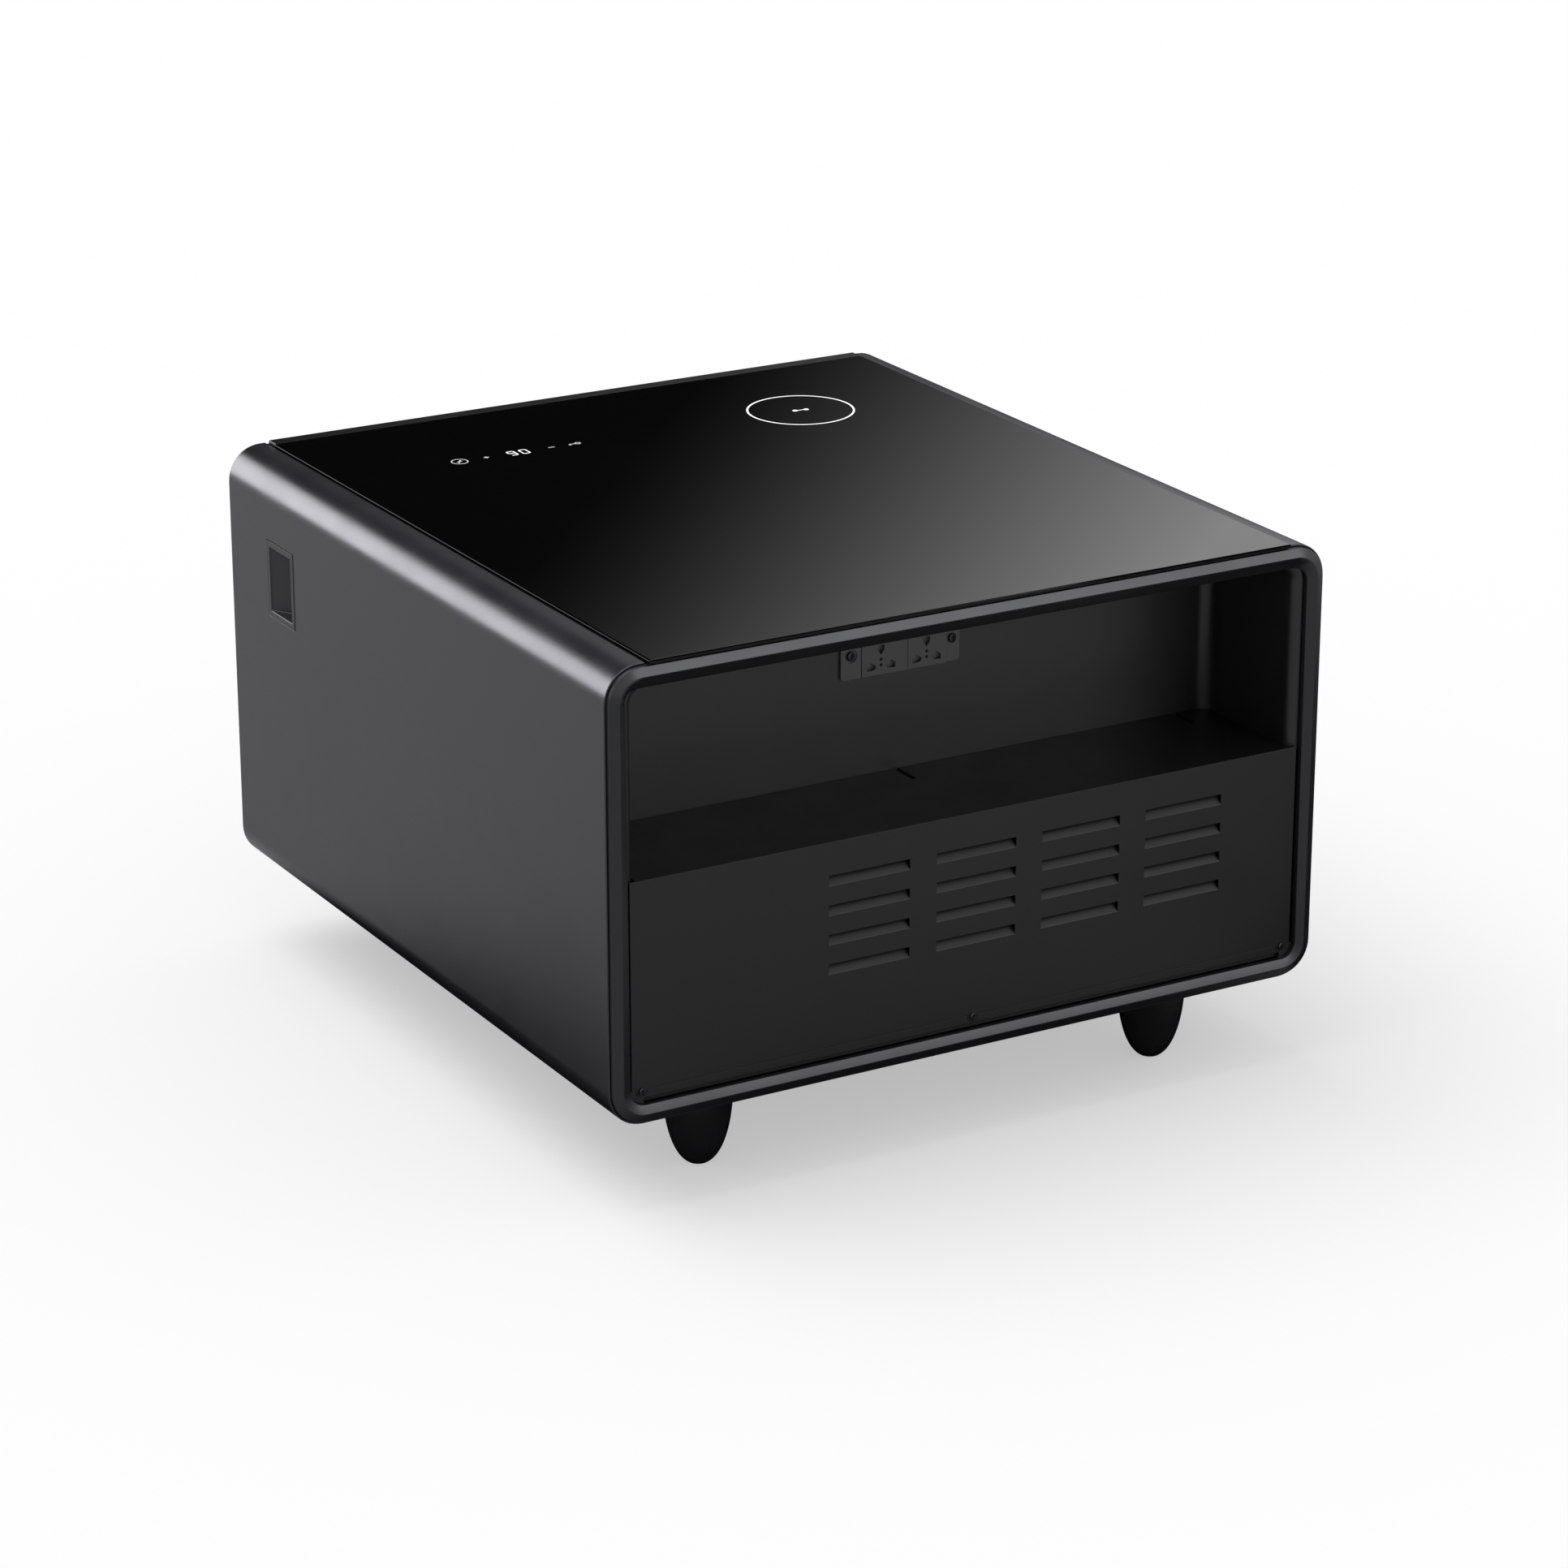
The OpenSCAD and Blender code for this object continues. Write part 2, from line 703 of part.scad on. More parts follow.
module touch_board() {
    color("#1f5a36") on_feet() difference() {
        translate(touch_pos) {
            translate([-touch_w / 2, -touch_d / 2, touch_board_z]) cube([touch_w, touch_d, pcb_t]);
            for (x = touch_keys) translate([x, 0, touch_board_z + pcb_t])
                cylinder(h = roof_z - fit - touch_board_z - pcb_t, r = 4, $fn = 32);
        }
        at_touch_bosses() translate([0, 0, touch_board_z - cut])
            cylinder(h = pcb_t + 2 * cut, r = 1.6, $fn = 24);
    }
}

module display_module() {
    color("#e8e8ea") on_feet() translate(touch_pos)
        translate([-display_w / 2, -display_d / 2, touch_board_z + pcb_t])
            cube([display_w, display_d, roof_z - fit - touch_board_z - pcb_t]);
}

module wireless_charger() {
    color("#2b2b2d") on_feet() translate(charger_pos) {
        translate([0, 0, roof_z - fit - charger_t]) cylinder(h = charger_t, d = charger_d, $fn = 96);
        translate([0, 0, tray_z - 2]) cylinder(h = 2, d = charger_d + charger_flange, $fn = 96);
    }
}

// ---- side grips ----

// A recessed grip in the +X side: a frame in the sheet and a scoop that deepens to the rear
module side_grip() {
    out_x = half_w + grip_proud;
    back_x = half_w - shell_t;
    y1 = grip_y + grip_mouth_w / 2;
    y0 = grip_y - grip_mouth_w / 2;
    difference() {
        union() {
            block([back_x, grip_y - grip_w / 2, grip_z - grip_h / 2],
                [out_x, grip_y + grip_w / 2, grip_z + grip_h / 2]);
            translate([0, 0, grip_z - grip_mouth_h / 2 - grip_wall])
                linear_extrude(grip_mouth_h + 2 * grip_wall) polygon([
                    [back_x + 0.5, y0 - grip_wall],
                    [back_x + 0.5, y1 + grip_wall],
                    [half_w - grip_depth - grip_wall, y1 + grip_wall],
                    [half_w - grip_depth - grip_wall, y1 - grip_wall],
                    [back_x - grip_wall, y0 - grip_wall]
                ]);
        }
        translate([0, 0, grip_z - grip_mouth_h / 2]) linear_extrude(grip_mouth_h) polygon([
            [out_x + cut, y0],
            [out_x + cut, y1],
            [half_w - grip_depth, y1],
            [out_x - 0.8, y0]
        ]);
    }
}

module side_grip_left() {
    color("#4a4a4d") on_feet() side_grip();
}

module side_grip_right() {
    color("#4a4a4d") on_feet() mirror([1, 0, 0]) side_grip();
}

// Room for a grip's scoop in the foam
module grip_pocket() {
    block([half_w - grip_depth - grip_wall - fit, grip_y - grip_mouth_w / 2 - grip_wall - fit,
        grip_z - grip_mouth_h / 2 - grip_wall - fit],
        [half_w, grip_y + grip_mouth_w / 2 + grip_wall + fit,
        grip_z + grip_mouth_h / 2 + grip_wall + fit]);
}

// ---- insulated cabinet ----

// Profile of the liner's space in Y and Z, grown by a wall, starting at a given front plane
module cold_profile(y0, grow) {
    polygon([
        [y0, cold_bottom - grow],
        [cold_low_y + grow, cold_bottom - grow],
        [cold_low_y + grow, cold_step_z - grow],
        [cold_high_y + grow, cold_step_z - grow],
        [cold_high_y + grow, cold_top + grow],
        [y0, cold_top + grow]
    ]);
}

// The two pipe risers and the drain, as holes of a given extra radius
module riser_holes(z0, z1) {
    for (y = [suction_riser_y, capillary_riser_y])
        translate([riser_x, y, z0]) cylinder(h = z1 - z0, r = riser_hole_r, $fn = 32);
    translate([drain_x, drain_y, z0]) cylinder(h = z1 - z0, r = drain_r + fit, $fn = 32);
}

module insulation() {
    color("#e6d9a8") on_feet() difference() {
        intersection() {
            along_x(-in_x, in_x) polygon([
                [foam_front_y, 0],
                [foam_low_y, 0],
                [foam_low_y, foam_step_z],
                [foam_high_y, foam_step_z],
                [foam_high_y, deck_z],
                [foam_front_y, deck_z]
            ]);
            along_y(front_y, rear_y) shell_outline(shell_t + skin_gap);
        }
        along_x(-liner_x - fit / 2, liner_x + fit / 2) cold_profile(front_y, liner_t + fit / 2);
        for (s = [0, 1]) mirror([s, 0, 0]) grip_pocket();
        block([back_box_x - back_box_w / 2 - fit, foam_high_y - back_box_d,
            socket_z - back_box_h / 2 - fit],
            [back_box_x + back_box_w / 2 + fit, rear_y, socket_z + back_box_h / 2 + fit]);
        block([socket_screw_xs[0] - lug_w - fit, foam_high_y - socket_screw_len,
            socket_z - lug_w - fit],
            [socket_screw_xs[1] + lug_w + fit, rear_y, socket_z + lug_w + fit]);
        foot_plate_room();
        at_feet() cylinder(h = stud_in_shell + 2 * fit, r = stud_d / 2 + cut);
        riser_holes(cabin_z, cold_step_z);
    }
}

module cold_liner() {
    color("#e9ebec") on_feet() difference() {
        union() {
            along_x(-liner_x, liner_x) cold_profile(flange_y, liner_t);
            intersection() {
                along_y(flange_y, foam_front_y) shell_outline(shell_t + skin_gap);
                block([-in_x, front_y, 0], [in_x, rear_y, deck_z]);
            }
        }
        along_x(-cold_x, cold_x) cold_profile(front_y, 0);
        riser_holes(step_z - cut, cold_step_z + cut);
        foot_plate_room();
    }
}

// ---- rear niche ----

// The niche's space, grown by a wall: round upper corners, and round corners at the back
module niche_space(grow, y1) {
    w = niche_w / 2 + grow;
    r = niche_r + grow;
    top = niche_top_z + grow;
    back = niche_back_y - grow;
    intersection() {
        along_y(back, y1) union() {
            translate([-w, cabin_z]) square([2 * w, top - r - cabin_z]);
            translate([-w + r, cabin_z]) square([2 * (w - r), top - cabin_z]);
            for (s = [-1, 1]) translate([s * (w - r), top - r]) circle(r);
        }
        translate([0, 0, cabin_z - cut]) linear_extrude(top - cabin_z + 2 * cut) union() {
            translate([-w, back + r]) square([2 * w, y1 - back - r]);
            translate([-w + r, back]) square([2 * (w - r), r + cut]);
            for (s = [-1, 1]) translate([s * (w - r), back + r]) circle(r);
        }
    }
}

// Section of the rolled edge at the niche's mouth, x out from the niche corner's centre
module roll_section() {
    turn = niche_r + niche_roll;
    difference() {
        translate([turn, -niche_roll]) circle(niche_roll);
        translate([turn, -niche_roll]) circle(niche_roll - niche_wall);
        translate([turn, -3 * niche_roll]) square([3 * niche_roll, 6 * niche_roll]);
        translate([0, -3 * niche_roll]) square([3 * niche_roll, 2 * niche_roll]);
    }
}

module niche_liner() {
    lip_y = niche_mouth_y;
    roll_y = lip_y - niche_roll;
    color("#2e2e30") on_feet() difference() {
        union() {
            difference() {
                niche_space(niche_wall, roll_y);
                niche_space(0, rear_y);
            }
            intersection() {
                translate([0, 0, niche_top_z / 2]) rotate([90, 0, 180]) translate([0, 0, lip_y])
                    frame_sweep(niche_w, niche_top_z, niche_r) roll_section();
                block([-in_x, 0, cabin_z], [in_x, rear_y, tray_z]);
            }
        }
        block([modules_x0 - 0.1, niche_back_y - niche_wall - cut,
            socket_z - socket_module_h / 2 - 0.1],
            [modules_x2 + 0.1, niche_back_y + cut, socket_z + socket_module_h / 2 + 0.1]);
        for (x = socket_screw_xs) translate([x, 0, socket_z])
            along_y(niche_back_y - niche_wall - cut, niche_back_y + cut)
                circle(1.6, $fn = 24);
    }
}

module niche_floor() {
    slot_pitch = (niche_w - 2 * floor_slot_margin) / (floor_slots - 1);
    color("#161617") on_feet() difference() {
        intersection() {
            block([-niche_w / 2 + fit, niche_back_y + fit, cabin_z],
                [niche_w / 2 - fit, rear_y - cover_t - fit, niche_floor_z]);
            translate([0, 0, -cut]) linear_extrude(shell_h) union() {
                translate([-niche_w / 2, niche_back_y + niche_r])
                    square([niche_w, niche_d]);
                translate([-niche_w / 2 + niche_r, niche_back_y + fit])
                    square([niche_w - 2 * niche_r, niche_d]);
                for (s = [-1, 1])
                    translate([s * (niche_w / 2 - niche_r), niche_back_y + niche_r])
                        circle(niche_r - fit);
            }
        }
        for (i = [0 : floor_slots - 1])
            translate([-niche_w / 2 + floor_slot_margin + i * slot_pitch,
                niche_back_y + fit, cabin_z - cut]) {
                translate([-floor_slot_w / 2, -cut, 0])
                    cube([floor_slot_w, floor_slot_len - floor_slot_w / 2 + cut,
                        niche_floor_t + 2 * cut]);
                translate([0, floor_slot_len - floor_slot_w / 2, 0])
                    cylinder(h = niche_floor_t + 2 * cut, d = floor_slot_w, $fn = 24);
            }
    }
}

// ---- sockets ----

// Modules span from the recessed ear at -X to the flush ear at +X
modules_x0 = socket_x - socket_module_w - socket_blank_w / 2 - 2.5;
modules_x1 = modules_x0 + socket_module_w;
modules_x2 = modules_x1 + socket_module_w + socket_blank_w;
back_box_x = (modules_x0 + modules_x2) / 2;
back_box_w = modules_x2 - modules_x0 + 5;
back_box_h = socket_module_h + 4;
back_box_wall = 1.4;
// The screws sit 1 mm off the plate's centre, in lugs of the back box
socket_screw_xs = [for (s = [-1, 1]) socket_x - 1 + s * socket_screw_pitch / 2];
socket_screw_len = 8;
lug_w = 5;
lug_t = 3;

module socket_plate() {
    ear_drop = 1.2;
    color("#3c3c3f") on_feet() difference() {
        translate([socket_x, 0, socket_z])
            along_y(niche_back_y, niche_back_y + socket_plate_t)
                round_rect(socket_plate_w, socket_plate_h, 3);
        block([modules_x0 - 0.1, niche_back_y - cut, socket_z - socket_module_h / 2 - 0.1],
            [modules_x2 + 0.1, rear_y, socket_z + socket_module_h / 2 + 0.1]);
        block([socket_x - socket_plate_w, niche_back_y + socket_plate_t - ear_drop,
            socket_z - socket_plate_h],
            [modules_x0, rear_y, socket_z + socket_plate_h]);
        for (x = socket_screw_xs) translate([x, 0, socket_z])
            along_y(niche_back_y - cut, rear_y) circle(1.6, $fn = 24);
        translate([socket_screw_xs[1], 0, socket_z])
            along_y(niche_back_y + socket_plate_t - ear_drop, rear_y)
                circle(socket_screw_head_r + 1.2, $fn = 32);
    }
}

// A wedge-shaped pocket, pointing along +X, drawn in X and Z
module wedge() {
    polygon([[-3.6, -2.8], [1.2, -2.8], [3.6, -1.6], [3.6, 0.4], [-0.6, 2.8], [-3.6, 0.6]]);
}

// A universal socket module from x0 to x1, its hole pattern centred at xp
module socket_module(x0, x1, xp) {
    face_y = niche_back_y + socket_plate_t + 0.4;
    pocket_d = 3;
    difference() {
        block([x0, face_y - socket_module_d, socket_z - socket_module_h / 2],
            [x1 - 0.2, face_y, socket_z + socket_module_h / 2]);
        translate([xp, 0, socket_z - 10.3]) {
            for (s = [0, 1]) mirror([s, 0, 0]) translate([-8, 0, 0])
                along_y(face_y - pocket_d, face_y + cut) wedge();
            for (z = [0.4, 4.4]) translate([0, 0, z])
                along_y(face_y - pocket_d, face_y + cut) circle(1.1, $fn = 24);
            translate([0, 0, 11.6]) along_y(face_y - pocket_d, face_y + cut)
                polygon([[-2.6, 3.4], [-2.6, 0], [0, -3.6], [2.6, 0], [2.6, 3.4]]);
        }
    }
}

module socket_module_1() {
    color("#404043") on_feet() socket_module(modules_x1, modules_x2, modules_x2 - 16);
}

module socket_module_2() {
    color("#404043") on_feet() socket_module(modules_x0, modules_x1, modules_x1 - 15.5);
}

module socket_screws() {
    color("#6a6a6e") on_feet() for (x = socket_screw_xs)
        translate([x, niche_back_y + socket_plate_t - 1.2 + 1.4, socket_z])
            cross_screw(socket_screw_head_r, 1.4, 1.5, socket_screw_len);
}

module socket_back_box() {
    mouth_y = niche_back_y - niche_wall;
    end_y = mouth_y - back_box_d + fit;
    half = back_box_w / 2;
    half_h = back_box_h / 2;
    inner = half - back_box_wall;
    inner_h = half_h - back_box_wall;
    color("#d8d8da") on_feet() difference() {
        union() {
            block([back_box_x - half, end_y, socket_z - half_h],
                [back_box_x + half, mouth_y, socket_z + half_h]);
            block([socket_screw_xs[0] - lug_w, mouth_y - lug_t, socket_z - lug_w],
                [socket_screw_xs[1] + lug_w, mouth_y, socket_z + lug_w]);
        }
        block([back_box_x - inner, end_y + back_box_wall, socket_z - inner_h],
            [back_box_x + inner, rear_y, socket_z + inner_h]);
        for (x = socket_screw_xs) translate([x, 0, socket_z])
            along_y(0, rear_y) circle(1.5 + run, $fn = 24);
    }
}

// ---- rear cover ----

louvre_field_w = (louvre_cols - 1) * louvre_pitch_x + louvre_w;
louvre_x0 = -louvre_field_x - louvre_field_w / 2;
louvre_z0 = cover_top_z - louvre_from_top - louvre_h;

// Repeats a louvre's place over the field, at its low left corner
module at_louvres() {
    for (i = [0 : louvre_cols - 1], j = [0 : louvre_rows - 1])
        translate([louvre_x0 + i * louvre_pitch_x, 0, louvre_z0 - j * louvre_pitch_z]) children();
}

module rear_cover() {
    color("#2b2b2d") on_feet() difference() {
        union() {
            difference() {
                block([-cover_w / 2, rear_y - cover_t, cover_bottom_z],
                    [cover_w / 2, rear_y, cover_top_z]);
                at_louvres() block([0, rear_y - cover_t - cut, 0],
                    [louvre_w, rear_y + cut, louvre_h]);
            }
            at_louvres() along_x(0, louvre_w) polygon([
                [rear_y - cover_t, -0.6],
                [rear_y, -0.6],
                [rear_y, 0],
                [rear_y - louvre_lean, louvre_h - 1],
                [rear_y - louvre_lean - 0.9, louvre_h - 1.9],
                [rear_y - cover_t, 0]
            ]);
            for (x = cover_screw_xs) translate([x, 0, cover_screw_z])
                along_y(rear_y - cover_t, rear_y) union() {
                    circle(lug_r, $fn = 32);
                    translate([-lug_r, 0]) square([2 * lug_r, cover_bottom_z - cover_screw_z]);
                }
        }
        for (x = cover_screw_xs) translate([x, 0, cover_screw_z])
            along_y(rear_y - cover_t - cut, rear_y + cut)
                circle(cover_screw_d / 2 + 0.2, $fn = 24);
    }
}

// Sill under the cover: a strip flush with it, a round-ended bead, and a foot behind the ring
module rear_sill() {
    ledge_z = shell_h / 2 - aperture_h / 2;
    bead_h = 2.2;
    color("#232325") on_feet() difference() {
        union() {
            intersection() {
                along_y(rear_y - sill_t, rear_y) translate([0, shell_h / 2])
                    round_rect(aperture_w - 2 * fit, aperture_h - 2 * fit, aperture_r - fit);
                block([-half_w, 0, 0], [half_w, rear_y, cover_bottom_z - 0.2]);
            }
            translate([0, 0, ledge_z + fit + bead_h / 2])
                along_y(rear_y - cut, rear_y + ring_inner_rise - 0.8)
                    round_rect(2 * flat_x, bead_h, bead_h / 2 - 0.01);
            intersection() {
                along_y(rear_y - ring_back_t - 3, rear_y - ring_back_t - fit)
                    shell_outline(shell_t + spigot_t + 2 * fit);
                block([-flat_x, 0, 0], [flat_x, rear_y, cover_bottom_z - 0.2]);
            }
        }
        for (x = cover_screw_xs) translate([x, 0, cover_screw_z]) {
            along_y(rear_y - cover_t - 0.1, rear_y + cut) circle(lug_r + fit, $fn = 32);
            along_y(0, rear_y + cut) circle(cover_screw_d / 2 + 0.2, $fn = 24);
        }
    }
}

module rear_cover_screws() {
    color("#1a1a1b") on_feet() for (x = cover_screw_xs)
        translate([x, rear_y + cover_screw_head_t, cover_screw_z])
            cross_screw(cover_screw_head_d / 2, cover_screw_head_t, cover_screw_d / 2,
                cover_screw_len);
}

// ---- machine compartment ----

board_w = 130;
board_h = 80;
board_x = cond_fan_x;
board_z = base_z + 60 + board_h / 2;
board_post_h = 6;
transformer_w = 32;
transformer_d = 22;
relay_w = 20;
relay_d = 16;
capacitor_r = 6;
capacitor_h = 18;

// The four posts of the power board
module at_board_posts() {
    for (sx = [-1, 1], sz = [-1, 1])
        translate([board_x + sx * (board_w / 2 - 6), 0, board_z + sz * (board_h / 2 - 6)])
            children();
}

module bulkhead() {
    color("#8e9296") on_feet() difference() {
        union() {
            intersection() {
                union() {
                    block([-in_x, bulkhead_y - bulkhead_t, 0], [in_x, bulkhead_y, cabin_z]);
                    block([-in_x, bulkhead_y - bulkhead_t, cabin_z - bulkhead_t],
                        [in_x, rear_y - spigot_len - fit, cabin_z]);
                }
                along_y(front_y, rear_y) shell_outline(shell_t + skin_gap);
            }
            at_board_posts() along_y(bulkhead_y, bulkhead_y + board_post_h) circle(4, $fn = 32);
        }
        at_board_posts() along_y(bulkhead_y + 1, bulkhead_y + board_post_h + cut)
            circle(1.25, $fn = 24);
        riser_holes(cabin_z - bulkhead_t - cut, cabin_z + cut);
    }
}

module base_plate() {
    color("#a2a5a8") on_feet() difference() {
        block([-base_half_w, bulkhead_y + fit, shell_t],
            [base_half_w, rear_y - spigot_len - fit, base_z]);
        foot_plate_room();
        inlet_hole();
        at_grommets() cylinder(h = base_z + cut, r = comp_bolt_r + run, $fn = 32);
    }
}

module foot_plates() {
    color("#8e9296") on_feet() at_feet() difference() {
        translate([-foot_plate_w / 2, -foot_plate_w / 2, shell_t])
            cube([foot_plate_w, foot_plate_w, foot_plate_t]);
        cylinder(h = foot_h, r = stud_d / 2 + run);
    }
}

// Outline of a foot: a squarish ellipse from its rim to the flat tip
foot_steps = 20;
foot_full_h = foot_h / foot_cut;
function foot_radius(z) =
    foot_r * pow(1 - pow(z / foot_full_h, foot_fullness), 1 / foot_fullness);

module foot(sx, sy) {
    color("#121213") translate([sx * foot_x, sy * foot_y, 0]) difference() {
        rotate_extrude() polygon(concat([[0, foot_h], [0, 0]],
            [for (i = [foot_steps : -1 : 0])
                let (z = foot_h * sin(90 * i / foot_steps))
                [foot_radius(z), foot_h - z]]));
        translate([0, 0, foot_h - stud_in_foot - fit])
            cylinder(h = stud_in_foot + fit + cut, r = stud_d / 2 + run);
    }
}

module foot_studs() {
    color("#b4b6b8") on_feet() at_feet() translate([0, 0, -stud_in_foot])
        cylinder(h = stud_in_foot + stud_in_shell, r = stud_d / 2);
}

// The compressor's four rubber mounts
module at_grommets() {
    for (sx = [-1, 1], sy = [-1, 1])
        translate([comp_x + sx * grommet_pitch_x / 2, comp_y + sy * grommet_pitch_y / 2, 0])
            children();
}

module compressor() {
    r = comp_d / 2;
    e = comp_edge_r;
    color("#1b1b1d") on_feet() difference() {
        union() {
            translate([comp_x, comp_y, comp_z]) rotate_extrude() {
                square([r - e, comp_h]);
                translate([0, e]) square([r, comp_h - 2 * e]);
                for (z = [e, comp_h - e]) intersection() {
                    translate([r - e, z]) circle(e);
                    square([r, comp_h]);
                }
            }
            for (sy = [-1, 1])
                block([comp_x - grommet_pitch_x / 2 - 10, comp_y + sy * grommet_pitch_y / 2 - 11,
                    bracket_z],
                    [comp_x + grommet_pitch_x / 2 + 10, comp_y + sy * grommet_pitch_y / 2 + 11,
                    comp_z]);
            block([comp_x - 24, comp_y - grommet_pitch_y / 2, bracket_z],
                [comp_x + 24, comp_y + grommet_pitch_y / 2, comp_z]);
            rod([comp_x - r + 4, comp_y, discharge_z], [comp_x - r - port_len, comp_y, discharge_z],
                port_r);
            rod([comp_x, comp_y - r + 4, suction_z], [comp_x, comp_y - r - port_len, suction_z],
                port_r);
        }
        at_grommets() translate([0, 0, bracket_z - cut])
            cylinder(h = bracket_t + 2 * cut, r = comp_bolt_r + run, $fn = 32);
    }
}

module compressor_grommets() {
    color("#202021") on_feet() at_grommets() translate([0, 0, base_z]) difference() {
        union() {
            cylinder(h = grommet_h, r = grommet_r - 2, $fn = 48);
            cylinder(h = grommet_h / 3, r = grommet_r, $fn = 48);
            translate([0, 0, grommet_h * 2 / 3]) cylinder(h = grommet_h / 3, r = grommet_r, $fn = 48);
        }
        translate([0, 0, -cut]) cylinder(h = grommet_h + 2 * cut, r = comp_bolt_r + run, $fn = 32);
    }
}

module compressor_bolts() {
    color("#b4b6b8") on_feet() at_grommets() {
        translate([0, 0, shell_t]) cylinder(h = comp_z - shell_t + 1, r = comp_bolt_r, $fn = 32);
        translate([0, 0, comp_z]) cylinder(h = 5, r = 7, $fn = 6);
    }
}

// Places of a serpentine's runs in Y and Z: up the rear column and down the front one
function run_places(rows, pitch) =
    [for (i = [0 : 2 * rows - 1]) i < rows ? [pitch / 2, i * pitch]
        : [-pitch / 2, (2 * rows - 1 - i) * pitch]];

// A serpentine tube along X with half-round bends, its runs at the given places
module serpentine(x1, x2, places, r, bend_r) {
    last = len(places) - 1;
    for (p = places) translate([0, p[0], p[1]]) rod([x1, 0, 0], [x2, 0, 0], r);
    for (i = [0 : last - 1]) {
        a = places[i];
        b = places[i + 1];
        upright = abs(a[1] - b[1]) > abs(a[0] - b[0]);
        side = i % 2 == 0 ? -1 : 1;
        translate([side < 0 ? x1 : x2, (a[0] + b[0]) / 2, (a[1] + b[1]) / 2])
            rotate([upright ? 90 : 0, 0, 0])
                rotate([0, 0, side < 0 ? 90 : -90])
                    rotate_extrude(angle = 180) translate([bend_r, 0]) circle(r, $fn = 32);
    }
}

// Fins across X with holes for the tube's runs, and two end plates that reach lower
module fin_pack(x1, x2, pitch, depth, z0, z1, places, hole_r, end_z0) {
    count = floor((x2 - x1 - 4) / pitch);
    first = (x1 + x2 - (count - 1) * pitch) / 2;
    for (i = [-1 : count]) {
        is_end = i < 0 || i == count;
        x = i < 0 ? x1 : (i == count ? x2 - 1.5 : first + i * pitch - fin_t / 2);
        t = is_end ? 1.5 : fin_t;
        difference() {
            block([x, -depth / 2, is_end ? end_z0 : z0], [x + t, depth / 2, z1]);
            for (p = places) translate([x - cut, p[0], p[1]])
                rotate([0, 90, 0]) cylinder(h = t + 2 * cut, r = hole_r, $fn = 32);
        }
    }
}

cond_places = run_places(cond_rows, cond_tube_pitch);

module condenser_fins() {
    color("#9fa3a7") on_feet() translate([0, cond_y, cond_tube_z])
        fin_pack(cond_x1, cond_x2, cond_fin_pitch, cond_fin_d, -12,
            (cond_rows - 1) * cond_tube_pitch + 12, cond_places, tube_d / 2 + run,
            base_z - cond_tube_z);
}

module condenser_tube() {
    color("#b87348") on_feet() translate([0, cond_y, cond_tube_z])
        serpentine(cond_x1 - cond_overhang, cond_x2 + cond_overhang, cond_places, tube_d / 2,
            cond_tube_pitch / 2);
}

// A fan's frame about the Y axis at the origin: duct, spokes, motor cup and shaft, on two legs
module fan_frame(w, d, leg) {
    duct_r = w / 2 - 4;
    cup_r = w * 0.18;
    along_y(-d / 2, d / 2) difference() {
        round_rect(w, w, 6);
        circle(duct_r);
        for (sx = [-1, 1], sz = [-1, 1])
            translate([sx * (w / 2 - 6), sz * (w / 2 - 6)]) circle(2, $fn = 24);
    }
    if (leg > 0) for (s = [-1, 1])
        translate([s * (w / 2 - 37) - 6, -d / 2, -w / 2 - leg]) cube([12, d / 2, leg + 4]);
    along_y(-d / 2, -d / 2 + 4) {
        circle(cup_r);
        for (a = [45, 135]) rotate(a) square([2 * duct_r + 2, 5], center = true);
    }
    along_y(-d / 2, d / 2 - 3) circle(2, $fn = 32);
}

// A fan's rotor about the Y axis at the origin: hub with a blind bore, and pitched blades
module fan_rotor(w, d, blades) {
    duct_r = w / 2 - 4;
    hub_r = w * 0.18;
    y0 = -d / 2 + 5;
    y1 = d / 2 - 1;
    difference() {
        union() {
            along_y(y0, y1) circle(hub_r);
            intersection() {
                along_y(y0 + 0.5, y1 - 0.5) circle(duct_r - 2);
                for (i = [0 : blades - 1]) rotate([0, 360 / blades * i, 0])
                    translate([0, (y0 + y1) / 2, 0]) rotate([0, 0, 38])
                        block([-0.8, -d, hub_r - 2], [0.8, d, duct_r]);
            }
        }
        along_y(y0 - cut, d / 2 - 3 + fit) circle(2 + run, $fn = 32);
    }
}

cond_fan_pos = [cond_fan_x, cond_fan_y, cond_fan_z];
evap_fan_pos = [0, evap_fan_y, evap_z];

module condenser_fan_frame() {
    color("#1e1e20") on_feet() translate(cond_fan_pos)
        fan_frame(cond_fan_w, cond_fan_d, cond_fan_z - cond_fan_w / 2 - base_z);
}

module condenser_fan_rotor() {
    color("#2c2c2f") on_feet() translate(cond_fan_pos) fan_rotor(cond_fan_w, cond_fan_d, 7);
}

module drip_tray() {
    z0 = comp_top + fit;
    color("#cfd2d4") on_feet() difference() {
        block([comp_x - drip_w / 2, drip_y1, z0], [comp_x + drip_w / 2, drip_y2, z0 + drip_h]);
        block([comp_x - drip_w / 2 + drip_wall, drip_y1 + drip_wall, z0 + drip_wall],
            [comp_x + drip_w / 2 - drip_wall, drip_y2 - drip_wall, shell_h]);
    }
}

module drain_tube() {
    z0 = comp_top + fit + drip_wall + fit;
    color("#dfe2e4") on_feet() translate([drain_x, drain_y, 0]) difference() {
        translate([0, 0, z0]) cylinder(h = cold_step_z - z0, r = drain_r, $fn = 32);
        translate([0, 0, z0 - cut])
            cylinder(h = shell_h, r = drain_r - drain_wall, $fn = 32);
        translate([0, 0, z0 - cut]) cube([2 * drain_r, 2 * drain_r, cut + 3]);
    }
}

dryer_x1 = cond_x2 + cond_overhang + 24;
dryer_y = cond_y - cond_tube_pitch / 2;
dryer_z = cond_tube_z;

